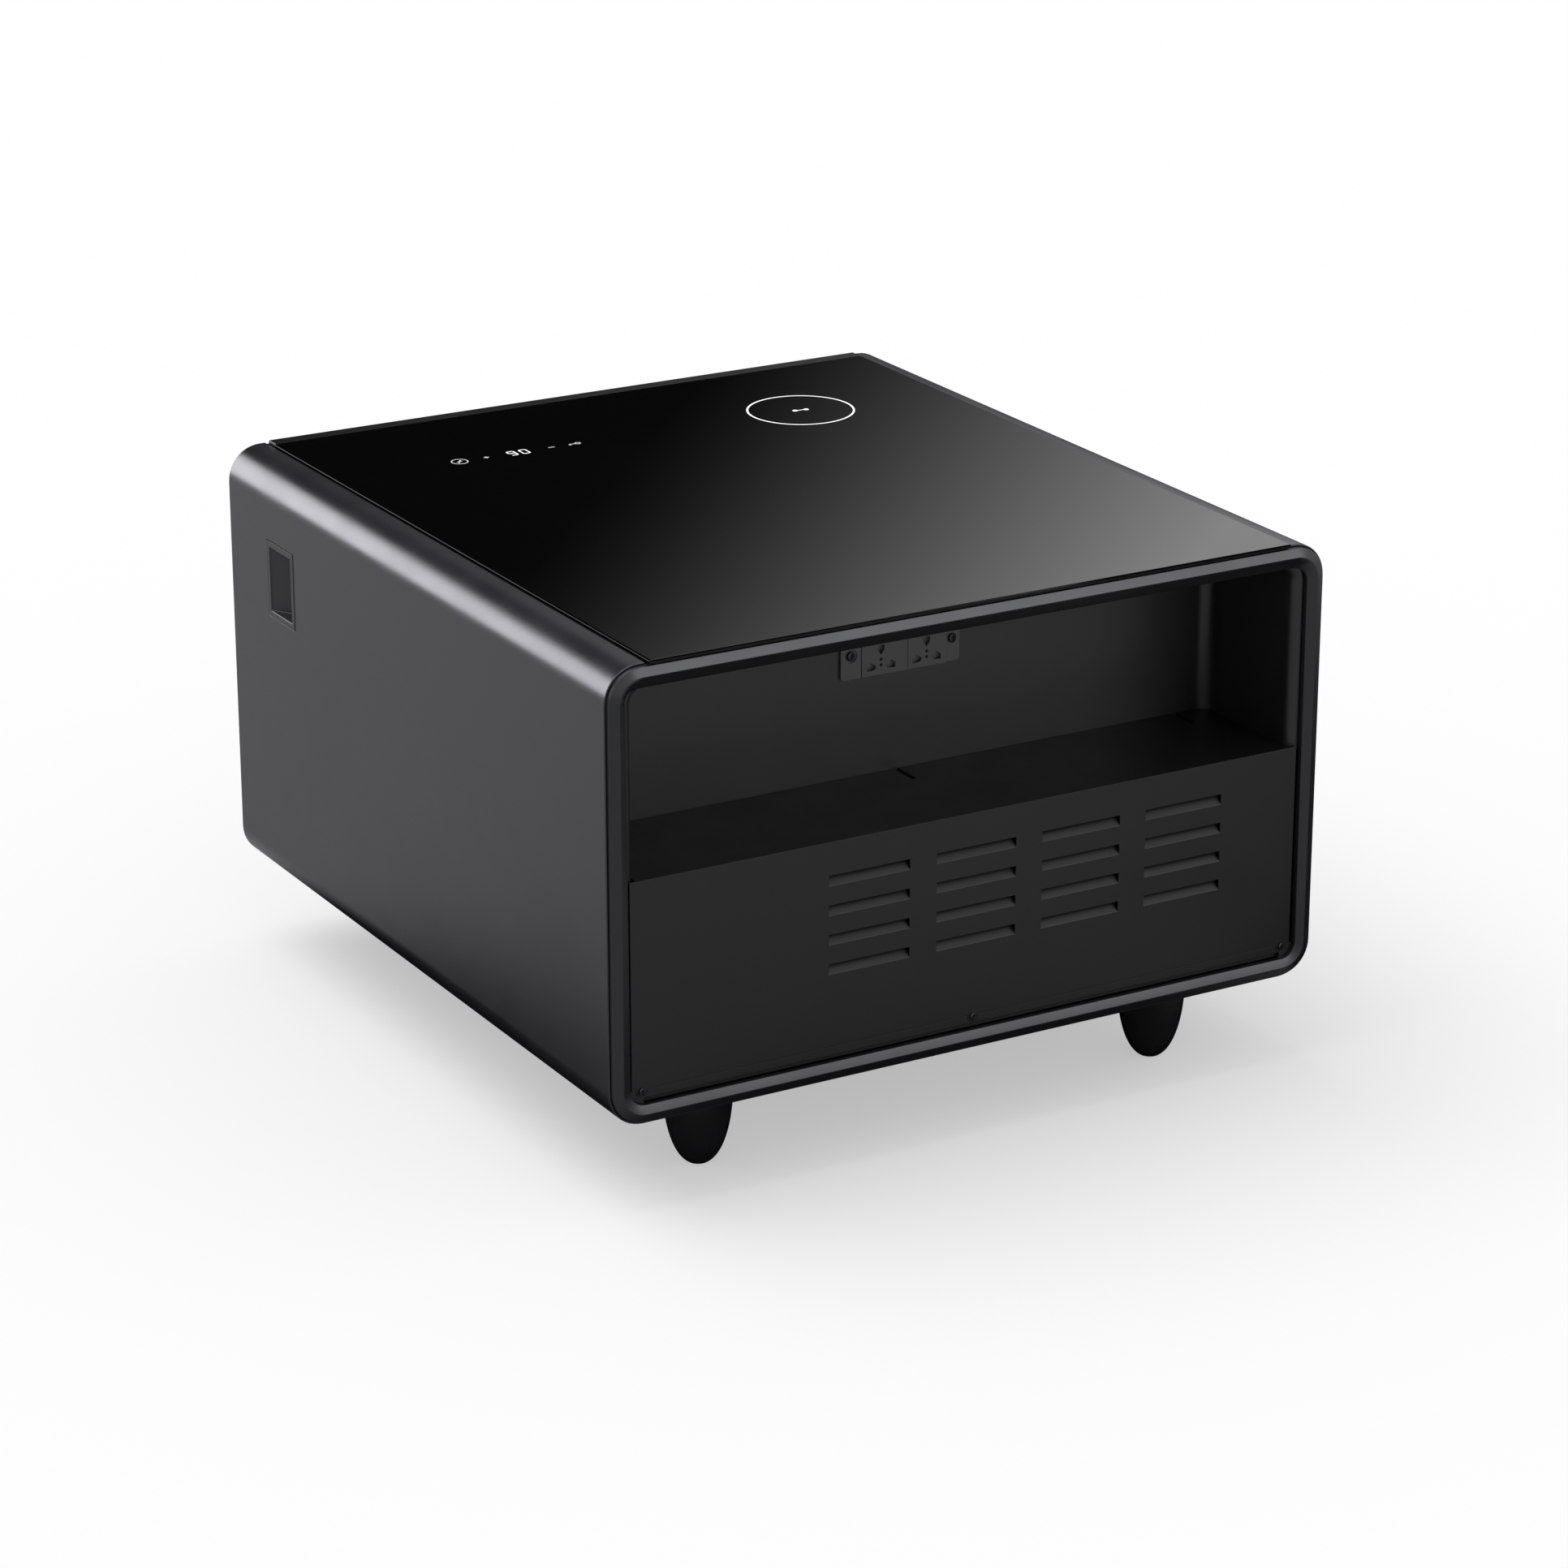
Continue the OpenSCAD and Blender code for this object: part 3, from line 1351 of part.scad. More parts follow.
module filter_dryer() {
    x2 = dryer_x1 + dryer_len;
    color("#b87348") on_feet() translate([0, dryer_y, dryer_z]) {
        rod([dryer_x1, 0, 0], [x2, 0, 0], dryer_r);
        rod([dryer_x1 - 4, 0, 0], [dryer_x1, 0, 0], dryer_r - 3);
        rod([x2, 0, 0], [x2 + 4, 0, 0], dryer_r - 3);
    }
}

evap_rows = 2;
evap_places = run_places(evap_rows, evap_tube_pitch);
evap_tube_z = evap_z - evap_tube_pitch * (evap_rows - 1) / 2;

module evaporator_fins() {
    color("#c3c7ca") on_feet() translate([0, evap_y, evap_tube_z])
        fin_pack(evap_x1, evap_x2, evap_fin_pitch, evap_fin_d,
            cold_step_z + 2 - evap_tube_z, cold_top - 2 - evap_tube_z, evap_places,
            tube_d / 2 + run, cold_step_z - evap_tube_z);
}

module evaporator_tube() {
    color("#b9bdc0") on_feet() translate([0, evap_y, evap_tube_z])
        serpentine(evap_x1 - 6, evap_x2 + 6, evap_places, tube_d / 2, evap_tube_pitch / 2);
}

// Hot line, suction line, capillary and the link to the dryer
module refrigerant_pipes() {
    r = tube_d / 2 - 0.6;
    hot_start = [comp_x - comp_d / 2 - port_len, comp_y, discharge_z];
    hot_x = hot_start[0] - 22;
    hot_end = [cond_x2 + cond_overhang, cond_y + cond_tube_pitch / 2, cond_tube_z];
    link_start = [cond_x2 + cond_overhang, dryer_y, dryer_z];
    cap_start = [dryer_x1 + dryer_len + 4, dryer_y, dryer_z];
    cap_x = cap_start[0] + 10;
    cap_z = comp_top - 14;
    evap_in = [evap_x2 + 6, evap_y - evap_tube_pitch / 2, evap_tube_z];
    evap_out = [evap_x2 + 6, evap_y + evap_tube_pitch / 2, evap_tube_z];
    suction_end = [comp_x, comp_y - comp_d / 2 - port_len, suction_z];
    low_y = suction_riser_y;
    color("#b87348") on_feet() {
        pipe_run([hot_start, [hot_x, hot_start[1], hot_start[2]],
            [hot_x, hot_start[1], hot_end[2]], [hot_x, hot_end[1], hot_end[2]], hot_end], r);
        pipe_run([link_start, [dryer_x1 - 4, dryer_y, dryer_z]], r);
        pipe_run([cap_start, [cap_x, cap_start[1], cap_start[2]], [cap_x, cap_start[1], cap_z],
            [cap_x, capillary_riser_y, cap_z], [riser_x, capillary_riser_y, cap_z],
            [riser_x, capillary_riser_y, evap_out[2]],
            [riser_x, evap_out[1], evap_out[2]], evap_out], capillary_r);
        pipe_run([evap_in, [riser_x, evap_in[1], evap_in[2]], [riser_x, low_y, evap_in[2]],
            [riser_x, low_y, suction_end[2]], [suction_end[0], low_y, suction_end[2]],
            suction_end], r);
    }
}

module power_board() {
    y0 = bulkhead_y + board_post_h;
    color("#1f5a36") on_feet() difference() {
        union() {
            block([board_x - board_w / 2, y0, board_z - board_h / 2],
                [board_x + board_w / 2, y0 + pcb_t, board_z + board_h / 2]);
            block([board_x - transformer_w - 18, y0, board_z - 20],
                [board_x - 18, y0 + transformer_d, board_z + 8]);
            block([board_x + 10, y0, board_z - 24],
                [board_x + 10 + relay_w, y0 + relay_d, board_z - 4]);
            for (i = [0 : 2]) translate([board_x + (0.1 + i) * 3 * capacitor_r, 0, board_z + 18])
                along_y(y0, y0 + capacitor_h) circle(capacitor_r, $fn = 32);
        }
        at_board_posts() along_y(y0 - cut, y0 + pcb_t + cut) circle(1.6, $fn = 24);
    }
}

module mains_inlet() {
    pin_h = 11;
    color("#141415") on_feet() translate([inlet_x, inlet_y, 0]) {
        difference() {
            union() {
                translate([-inlet_w / 2, -inlet_d / 2, -inlet_flange_t])
                    cube([inlet_w, inlet_d, inlet_flange_t]);
                translate([-inlet_body_w / 2, -inlet_body_d / 2, -inlet_flange_t])
                    cube([inlet_body_w, inlet_body_d, inlet_flange_t + inlet_body_h]);
            }
            translate([-inlet_mouth_w / 2, -inlet_mouth_d / 2, -inlet_flange_t - cut])
                cube([inlet_mouth_w, inlet_mouth_d, inlet_depth + cut]);
        }
        for (p = [[-7, 2], [7, 2], [0, -2]])
            translate([p[0] - 1, p[1] - 2, inlet_depth - inlet_flange_t - pin_h])
                cube([2, 4, pin_h + 1]);
    }
}

// ---- cold drawer's surroundings ----

module evaporator_cover() {
    slots_each = 5;
    slot_x0 = evap_fan_w / 2 + 26;
    slot_pitch = (cold_x - slot_x0) / (slots_each + 0.6);
    slot_w = slot_pitch - 8;
    row_pitch = evap_fan_w * 0.29;
    color("#f0f1f2") on_feet() difference() {
        block([-cold_x + fit, evap_cover_y, cold_step_z + fit],
            [cold_x - fit, evap_cover_y + evap_cover_t, cold_top - fit]);
        translate([0, 0, evap_z]) along_y(0, rear_y) circle(evap_fan_w / 2 - 5);
        for (s = [-1, 1], i = [0 : slots_each - 1], row = [-1 : 1])
            translate([s * (slot_x0 + slot_w / 2 + slot_pitch * i) - slot_w / 2,
                evap_cover_y - cut, evap_z + row * row_pitch - 2.5])
                cube([slot_w, evap_cover_t + 2 * cut, 5]);
    }
}

module evaporator_fan_frame() {
    color("#e4e6e8") on_feet() translate(evap_fan_pos)
        rotate([0, 0, 180]) fan_frame(evap_fan_w, evap_fan_d, 0);
}

module evaporator_fan_rotor() {
    color("#d7dadc") on_feet() translate(evap_fan_pos)
        rotate([0, 0, 180]) fan_rotor(evap_fan_w, evap_fan_d, 5);
}

lamp_w = 120;
lamp_d = 16;
lamp_t = 5;
lamp_y = flange_y + 12;

module led_lamp() {
    color("#f4f4ee") on_feet()
        block([-lamp_w / 2, lamp_y, cold_top - lamp_t], [lamp_w / 2, lamp_y + lamp_d, cold_top]);
}

// A C-shaped rail in X and Z, its web at x and its flanges reaching by a depth towards +X or -X
module rail_section(web_x, reach, h) {
    x0 = min(web_x, web_x + reach);
    translate([web_x - runner_t / 2, -h / 2]) square([runner_t, h]);
    for (z = [-h / 2, h / 2 - runner_t]) translate([x0, z]) square([abs(reach), runner_t]);
}

outer_web_x = cold_x - runner_t / 2;
inner_web_x = bin_x + runner_t / 2;
middle_web_x = (outer_web_x + inner_web_x) / 2;
runner_reach = outer_web_x - inner_web_x - runner_t / 2 - fit;
middle_h = runner_h - 2 * runner_t - 2 * fit;
inner_h = middle_h - 2 * runner_t - 2 * fit;
half_reach = middle_web_x - inner_web_x - runner_t / 2 - fit;

// Both runners of a kind, their section drawn for the +X side
module both_runners() {
    for (s = [0, 1]) mirror([s, 0, 0])
        translate([0, 0, runner_z]) along_y(runner_y1, runner_y1 + runner_len) children();
}

module runner_outer_rails() {
    color("#b9bcbf") on_feet() both_runners() rail_section(outer_web_x, -runner_reach, runner_h);
}

module runner_middle_rails() {
    color("#a9adb0") on_feet() both_runners() {
        rail_section(middle_web_x, half_reach, middle_h);
        rail_section(middle_web_x, -half_reach, middle_h);
    }
}

module runner_inner_rails() {
    color("#c6c9cc") on_feet() both_runners() rail_section(inner_web_x, half_reach, inner_h);
}

// ---- drawer ----

// The outline of the drawer's front in X and Z, moved in by a distance
module face_outline(inward) {
    translate([0, shell_h / 2])
        round_rect(face_w - 2 * inward, face_h - 2 * inward, max(1, face_r - inward));
}

module drawer_front_panel() {
    color("#111113") on_feet() difference() {
        intersection() {
            along_y(face_y, panel_y) face_outline(0);
            block([-half_w, face_y, 0], [half_w, panel_y, rail_z]);
        }
        intersection() {
            along_y(face_y + front_skin_t, panel_y + cut) face_outline(front_skin_t);
            block([-half_w, face_y, 0], [half_w, panel_y + cut, rail_z - front_skin_t]);
        }
    }
}

module drawer_foam() {
    inward = front_skin_t + skin_gap;
    color("#e6d9a8") on_feet() {
        intersection() {
            along_y(face_y + inward, panel_y) face_outline(inward);
            block([-half_w, face_y, 0], [half_w, panel_y, rail_z - inward]);
        }
        translate([0, -cut, 0]) plug_block(inner_panel_t + skin_gap);
    }
}

// Grip rail: a bar with a finger scoop behind a hanging lip
module drawer_grip_rail() {
    scoop_x = face_w / 2 - 10;
    scoop_z = scoop_top - scoop_h;
    lip_t = 4;
    color("#6b6c6f") on_feet() difference() {
        intersection() {
            along_y(face_y, panel_y) face_outline(0);
            block([-half_w, face_y, rail_z], [half_w, panel_y, shell_h]);
        }
        block([-scoop_x, face_y - cut, scoop_z], [scoop_x, face_y + scoop_d, scoop_z + scoop_mouth_h]);
        block([-scoop_x, face_y + lip_t, scoop_z], [scoop_x, face_y + scoop_d, scoop_z + scoop_h]);
    }
}

// The plug that steps into the liner's mouth, from the front's back face, moved in by a distance
module plug_block(inward) {
    x = cold_x - 5 - inward;
    block([-x, panel_y, cold_bottom + 5 + inward], [x, bin_y - inward, cold_top - 5 - inward]);
}

module drawer_inner_panel() {
    color("#e9ebec") on_feet() difference() {
        union() {
            along_y(panel_y, seal_y) face_outline(1);
            plug_block(0);
        }
        translate([0, -cut, 0]) plug_block(inner_panel_t);
        plug_block(inner_panel_t);
    }
}

module drawer_gasket() {
    out_x = face_w / 2 - gasket_inset;
    z0 = face_bottom + gasket_inset;
    z1 = face_top - gasket_inset;
    color("#3b3c3e") on_feet() along_y(seal_y, seal_y + gasket_t) difference() {
        translate([-out_x, z0]) square([2 * out_x, z1 - z0]);
        translate([-out_x + gasket_w, z0 + gasket_w])
            square([2 * (out_x - gasket_w), z1 - z0 - 2 * gasket_w]);
    }
}

module drawer_bin() {
    color("#dfe6ea") on_feet() translate([0, bin_y + bin_d / 2, bin_z]) difference() {
        linear_extrude(bin_h) round_rect(bin_w, bin_d, bin_r);
        translate([0, 0, bin_wall]) linear_extrude(bin_h)
            round_rect(bin_w - 2 * bin_wall, bin_d - 2 * bin_wall, bin_r - bin_wall);
    }
}

outer_shell();
front_trim_ring();
rear_trim_ring();
glass_top();
glass_front_trim();
top_tray();
touch_board();
display_module();
wireless_charger();
side_grip_left();
side_grip_right();
insulation();
cold_liner();
niche_liner();
niche_floor();
socket_plate();
socket_module_1();
socket_module_2();
socket_screws();
socket_back_box();
rear_cover();
rear_sill();
rear_cover_screws();
bulkhead();
base_plate();
foot_plates();
foot(1, 1);  // foot_rear_left
foot(-1, 1);  // foot_rear_right
foot(1, -1);  // foot_front_left
foot(-1, -1);  // foot_front_right
foot_studs();
compressor();
compressor_grommets();
compressor_bolts();
condenser_fins();
condenser_tube();
condenser_fan_frame();
condenser_fan_rotor();
drip_tray();
drain_tube();
filter_dryer();
refrigerant_pipes();
power_board();
mains_inlet();
evaporator_fins();
evaporator_tube();
evaporator_cover();
evaporator_fan_frame();
evaporator_fan_rotor();
led_lamp();
runner_outer_rails();
runner_middle_rails();
runner_inner_rails();
drawer_front_panel();
drawer_grip_rail();
drawer_foam();
drawer_inner_panel();
drawer_gasket();
drawer_bin();
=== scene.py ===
"""Looks of the refrigerator nightstand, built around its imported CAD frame.

The cabinet stands on four bullet feet, wrapped in satin gunmetal sheet steel, with a black glass
top, a cold drawer at the front (-Y) and an open niche over a louvred cover at the rear (+Y).
"""

import json
import math

import bmesh
import bpy
from bpy.props import FloatProperty, FloatVectorProperty, IntProperty, PointerProperty
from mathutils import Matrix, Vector

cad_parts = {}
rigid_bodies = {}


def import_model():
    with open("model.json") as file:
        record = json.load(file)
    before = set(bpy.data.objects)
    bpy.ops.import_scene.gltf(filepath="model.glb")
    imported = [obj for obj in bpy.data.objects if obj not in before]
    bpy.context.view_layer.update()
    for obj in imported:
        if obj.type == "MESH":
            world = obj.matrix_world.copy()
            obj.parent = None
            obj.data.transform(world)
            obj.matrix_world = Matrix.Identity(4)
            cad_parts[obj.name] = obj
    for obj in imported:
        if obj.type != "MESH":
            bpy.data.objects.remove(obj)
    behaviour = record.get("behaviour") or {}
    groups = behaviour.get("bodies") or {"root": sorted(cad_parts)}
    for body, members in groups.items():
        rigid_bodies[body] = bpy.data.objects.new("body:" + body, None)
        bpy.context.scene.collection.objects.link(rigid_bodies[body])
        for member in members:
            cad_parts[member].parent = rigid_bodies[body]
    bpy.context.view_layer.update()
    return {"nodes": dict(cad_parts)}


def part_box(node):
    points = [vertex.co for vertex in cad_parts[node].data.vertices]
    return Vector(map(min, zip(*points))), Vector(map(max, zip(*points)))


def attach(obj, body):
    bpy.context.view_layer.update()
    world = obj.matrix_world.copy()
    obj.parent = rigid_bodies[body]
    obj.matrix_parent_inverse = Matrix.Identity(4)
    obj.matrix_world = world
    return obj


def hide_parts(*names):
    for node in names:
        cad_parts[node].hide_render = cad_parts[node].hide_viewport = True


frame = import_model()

bl_info = {
    "name": "Refrigerator nightstand",
    "version": (1, 0, 0),
    "blender": (4, 5, 0),
    "location": "3D View > Sidebar > Nightstand",
    "description": "Builds the visible pieces and finishes of a refrigerator nightstand",
    "category": "Object",
}

MM = 0.001
CABINET, DRAWER = "cabinet", "drawer"
SLOTS = {name: node.material_slots[0].material.name for name, node in frame["nodes"].items()}

# Places nearer than NEAR count as one, and vertices of a CAD node nearer than WELD are joined
NEAR = 0.1 * MM
WELD = 0.05 * MM

# Angles between faces: below FLAT they are one face, above EDGE their edge is rounded, and above
# CREASE or, on a piece made by nodes, GROWN_CREASE the shading breaks
FLAT = math.radians(0.05)
EDGE = math.radians(30)
CREASE = math.radians(60)
GROWN_CREASE = math.radians(35)

# The colour sockets of a Mix node share their names with its others, so they go by number
MIX_FACTOR, MIX_FIRST, MIX_SECOND, MIX_RESULT = 0, 6, 7, 2


# ---------------------------------------------------------------- small helpers

def linear(colour):
    """Linear RGBA of an sRGB hex colour such as '4b4b4f'."""
    parts = [int(colour[i:i + 2], 16) / 255 for i in (0, 2, 4)]
    return [c / 12.92 if c <= 0.04045 else ((c + 0.055) / 1.055) ** 2.4 for c in parts] + [1.0]


def add(tree, kind, settings=None, links=None):
    """Adds one node. Links give a socket, by name or number, its value or the source of its value."""
    made = tree.nodes.new(kind)
    for name, value in (settings or {}).items():
        setattr(made, name, value)
    for key, value in (links or {}).items():
        socket = made.inputs[key]
        if isinstance(value, bpy.types.NodeSocket):
            tree.links.new(value, socket)
        else:
            socket.default_value = value
    return made


def blank(name):
    """A new material whose node tree is empty."""
    made = bpy.data.materials.new(name)
    made.use_nodes = True
    made.node_tree.nodes.clear()
    return made


def linked(name, data):
    """A new object with this data, in the scene."""
    made = bpy.data.objects.new(name, data)
    bpy.context.scene.collection.objects.link(made)
    return made


def mesh_of(name, shape):
    """The mesh of a finished bmesh, which is freed."""
    mesh = bpy.data.meshes.new(name)
    shape.to_mesh(mesh)
    shape.free()
    return mesh


def piece(name, mesh, paint, body, replaced=()):
    """Makes a mesh a finished piece that rides on a body and stands for its CAD nodes."""
    made = linked(name, mesh)
    mesh.materials.clear()
    mesh.materials.append(paint)
    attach(made, body)
    if replaced:
        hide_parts(*replaced)


def baked(holder):
    """The plain mesh that an object's modifiers give; the object and its modifiers go."""
    graph = bpy.context.evaluated_depsgraph_get()
    mesh = bpy.data.meshes.new_from_object(holder.evaluated_get(graph), depsgraph=graph)
    bpy.data.objects.remove(holder)
    return mesh


def modified(mesh, kind, **settings):
    """The plain mesh that one modifier with these settings makes of a mesh."""
    holder = linked(mesh.name, mesh)
    modifier = holder.modifiers.new(kind.lower(), kind)
    for name, value in settings.items():
        setattr(modifier, name, value)
    return baked(holder)


# ---------------------------------------------------------------- finishes

# Sizes are in mm: grain is how coarse the surface's relief is, relief its height and mottle the size
# of the drift. spread is how far the roughness drifts to either side. stretch draws the grain out
# along an axis, as rolling and brushing do, and cells gives it cells instead of a cloudy grain.
# specular and hue are the strength and the colour of what a paint or a plastic mirrors, and glow is
# light of its own: a lamp's, or painted light on the unlit key print. The real grain of moulded
# plastic, rolled and brushed metal and rubber is finer than a render of the whole object shows, a
# tenth or two of a mm, so it is drawn as coarse as it needs to show.
FINISHES = {
    # Satin powder coat on sheet steel: near black, a cool grey only where it mirrors the room
    "gunmetal_paint": dict(name="satin_powder_coat_gunmetal", colour="1a1a1e", drift="17171a",
                           rough=0.3, grain=1.6, relief=0.003, specular=0.7, hue="f2efff"),
    # Moulded ABS with satin paint: the same black on crisp facets
    "dark_ring": dict(name="satin_painted_abs_ring", colour="1c1d1e", drift="191a1b",
                      rough=0.3, grain=1.2, relief=0.002, specular=0.52, hue="f8f9ff"),
    # Tempered glass, painted black behind: a mirror at low angles, deep black from above
    "black_glass": dict(name="back_painted_tempered_glass", colour="090909", drift="0b0b0b",
                        rough=0.035, spread=0.012, ior=1.58, mottle=120),
    # Anodised aluminium bar, satin black
    "dark_trim": dict(name="black_anodised_aluminium", colour="2b2b2d", drift="252527",
                      rough=0.34, metallic=1.0, grain=0.4, relief=0.002, stretch=(0.02, 1, 1)),
    # Moulded ABS with spark-eroded grain: dull black
    "tray_plastic": dict(name="moulded_abs_black_tray", colour="19191a", drift="161617",
                         rough=0.5, grain=0.5, relief=0.01),
    # Solder mask over woven glass laminate: dull green
    "circuit_board": dict(name="solder_masked_laminate", colour="1d5a37", drift="174a2c",
                          rough=0.35, grain=0.8, relief=0.006, mottle=4),
    # Smoked acrylic window over the digits: glossy, near black
    "display": dict(name="smoked_acrylic_window", colour="0b0b0c", drift="09090a",
                    rough=0.08),
    # Moulded nylon puck of the charger: dull black
    "charger_plastic": dict(name="moulded_nylon_charger", colour="222224", drift="1e1e20",
                            rough=0.45, grain=0.5, relief=0.01),
    # Moulded ABS of the hand grips: satin black with a fine grain
    "grip_plastic": dict(name="moulded_abs_grip", colour="262629", drift="232326",
                         rough=0.36, grain=0.6, relief=0.003),
    # Blown rigid polyurethane: open cells and a dull cream colour
    "foam": dict(name="rigid_polyurethane_foam", colour="e3d6a6", drift="d2c391",
                 rough=0.95, grain=1.2, relief=0.2, cells=True),
    # Vacuum-formed polystyrene: glossy white, slightly wavy
    "liner_plastic": dict(name="vacuum_formed_polystyrene", colour="e4e6e7", drift="dcdee0",
                          rough=0.22, grain=18, relief=0.02),
    # Moulded ABS of the niche: matt black with a fine grain
    "niche_plastic": dict(name="moulded_abs_niche", colour="171718", drift="151516",
                          rough=0.4, grain=0.6, relief=0.003),
    # Moulded ABS of the niche's floor: matt black
    "shelf_plastic": dict(name="matt_moulded_abs_shelf", colour="121213", drift="101011",
                          rough=0.42, grain=0.9, relief=0.004, specular=0.28),
    # Moulded polycarbonate of the sockets: satin dark grey
    "socket_plastic": dict(name="moulded_polycarbonate_socket", colour="4c4c4e", drift="48484a",
                           rough=0.36, grain=0.5, relief=0.002),
    # Black zinc-plated screw steel: a dark metallic sheen
    "screw_steel": dict(name="black_zinc_plated_steel", colour="454548", drift="3d3d40",
                        rough=0.4, metallic=1.0, grain=0.7, relief=0.004),
    # Moulded polypropylene of hidden boxes and trays: pale grey
    "box_plastic": dict(name="moulded_polypropylene_box", colour="c9cccf", drift="bfc2c5",
                        rough=0.42, grain=0.6, relief=0.01),
    # Powder-coated cover sheet: matt, near black
    "cover_steel": dict(name="matt_powder_coat_cover", colour="171718", drift="151516",
                        rough=0.45, grain=1.0, relief=0.004, specular=0.34),
    # Extruded PVC sill: matt black, with a grain drawn along it
    "sill_plastic": dict(name="extruded_pvc_sill", colour="171718", drift="151516",
                         rough=0.45, grain=0.5, relief=0.003, stretch=(0.2, 1, 1), specular=0.34),
    # Hot-dip galvanised sheet: large dull spangles
    "galvanised_steel": dict(name="hot_dip_galvanised_steel", colour="a9adb0", drift="8b8f93",
                             rough=0.38, spread=0.1, metallic=1.0, grain=9, relief=0.004,
                             cells=True, mottle=8),
    # Moulded nylon feet, polished mould: black with a crisp highlight
    "foot_plastic": dict(name="polished_moulded_nylon_feet", colour="222224", drift="1f1f21",
                         rough=0.2, grain=6, relief=0.003, specular=0.4),
    # Stoved enamel on the compressor's shell: glossy black
    "compressor_paint": dict(name="stoved_enamel_compressor", colour="17181a", drift="131416",
                             rough=0.28, grain=1.6, relief=0.01),
    # Moulded rubber: quite dull black
    "mount_rubber": dict(name="moulded_nitrile_rubber", colour="232324", drift="1d1d1e",
                         rough=0.75, grain=0.7, relief=0.02),
    # Rolled aluminium foil of the fins: bright, with lines drawn up it
    "fin_aluminium": dict(name="rolled_aluminium_fins", colour="c6c9cb", drift="b2b5b8",
                          rough=0.32, metallic=1.0, grain=0.6, relief=0.004, stretch=(1, 1, 0.05)),
    # Drawn copper tube, a little tarnished
    "copper": dict(name="drawn_copper_tube", colour="c07a50", drift="96583a",
                   rough=0.28, spread=0.08, metallic=1.0, grain=0.8, relief=0.003, mottle=14),
    # Glass-filled nylon of the fan: dull black
    "fan_plastic": dict(name="glass_filled_nylon_fan", colour="232325", drift="1d1d1f",
                        rough=0.48, grain=0.5, relief=0.01),
    # Moulded high-impact polystyrene in the cold space: satin white
    "white_plastic": dict(name="moulded_white_polystyrene", colour="e3e5e6", drift="d9dbdd",
                          rough=0.36, grain=0.7, relief=0.006),
    # Thermoset of the mains inlet: satin black
    "inlet_plastic": dict(name="moulded_thermoset_inlet", colour="18181a", drift="141416",
                          rough=0.4, grain=0.5, relief=0.005),
    # Opal polycarbonate over the lamp: milky, lit from inside
    "lamp": dict(name="opal_polycarbonate_lens", colour="f2f1ea", drift="eae9e2",
                 rough=0.3, grain=1, relief=0.002, glow=0.6),
    # Zinc-plated rolled steel of the runners: bright grey
    "runner_steel": dict(name="zinc_plated_runner_steel", colour="b4b7b9", drift="9b9ea1",
                         rough=0.3, metallic=1.0, grain=0.5, relief=0.003, stretch=(1, 0.03, 1)),
    # Satin powder coat of the drawer's front, as the wrap
    "front_paint": dict(name="satin_powder_coat_front", colour="1b1b1d", drift="18181a",
                        rough=0.3, grain=1.6, relief=0.004, specular=0.4, hue="f2efff"),
    # Brushed and anodised grip rail: grey, with lines drawn along it
    "rail_aluminium": dict(name="brushed_anodised_rail", colour="55565a", drift="47484c",
                           rough=0.34, metallic=1.0, grain=0.35, relief=0.004,
                           stretch=(0.02, 1, 1)),
    # Soft PVC of the magnetic seal: dull pale grey
    "seal_rubber": dict(name="soft_pvc_seal", colour="a7aaad", drift="9c9fa2",
                        rough=0.6, grain=0.6, relief=0.01),
    # Moulded polystyrene bin, glossy and faintly blue
    "bin_plastic": dict(name="moulded_polystyrene_bin", colour="e0e4e7", drift="d8dcdf",
                        rough=0.18, grain=22, relief=0.015),
    # Screen-printed ceramic ink on the glass: ring and digits lit from behind and bright. The keys'
    # print is unlit, and its dim glow is painted light that brightens it
    "print_bright": dict(name="lit_screen_print_white", colour="f4f4f4", drift="eaeaea",
                         rough=0.5, glow=0.75),
    # The unlit key print, brightened by a painted glow
    "print_dim": dict(name="key_print_grey_painted_glow", colour="d4d4d6", drift="cacacc",
                      rough=0.5, glow=0.35),
}


# Two levels that a noise texture mostly keeps between, and the roughness of the smoothest surface
NOISE_LOW, NOISE_HIGH = 0.3, 0.7
SMOOTHEST = 0.02


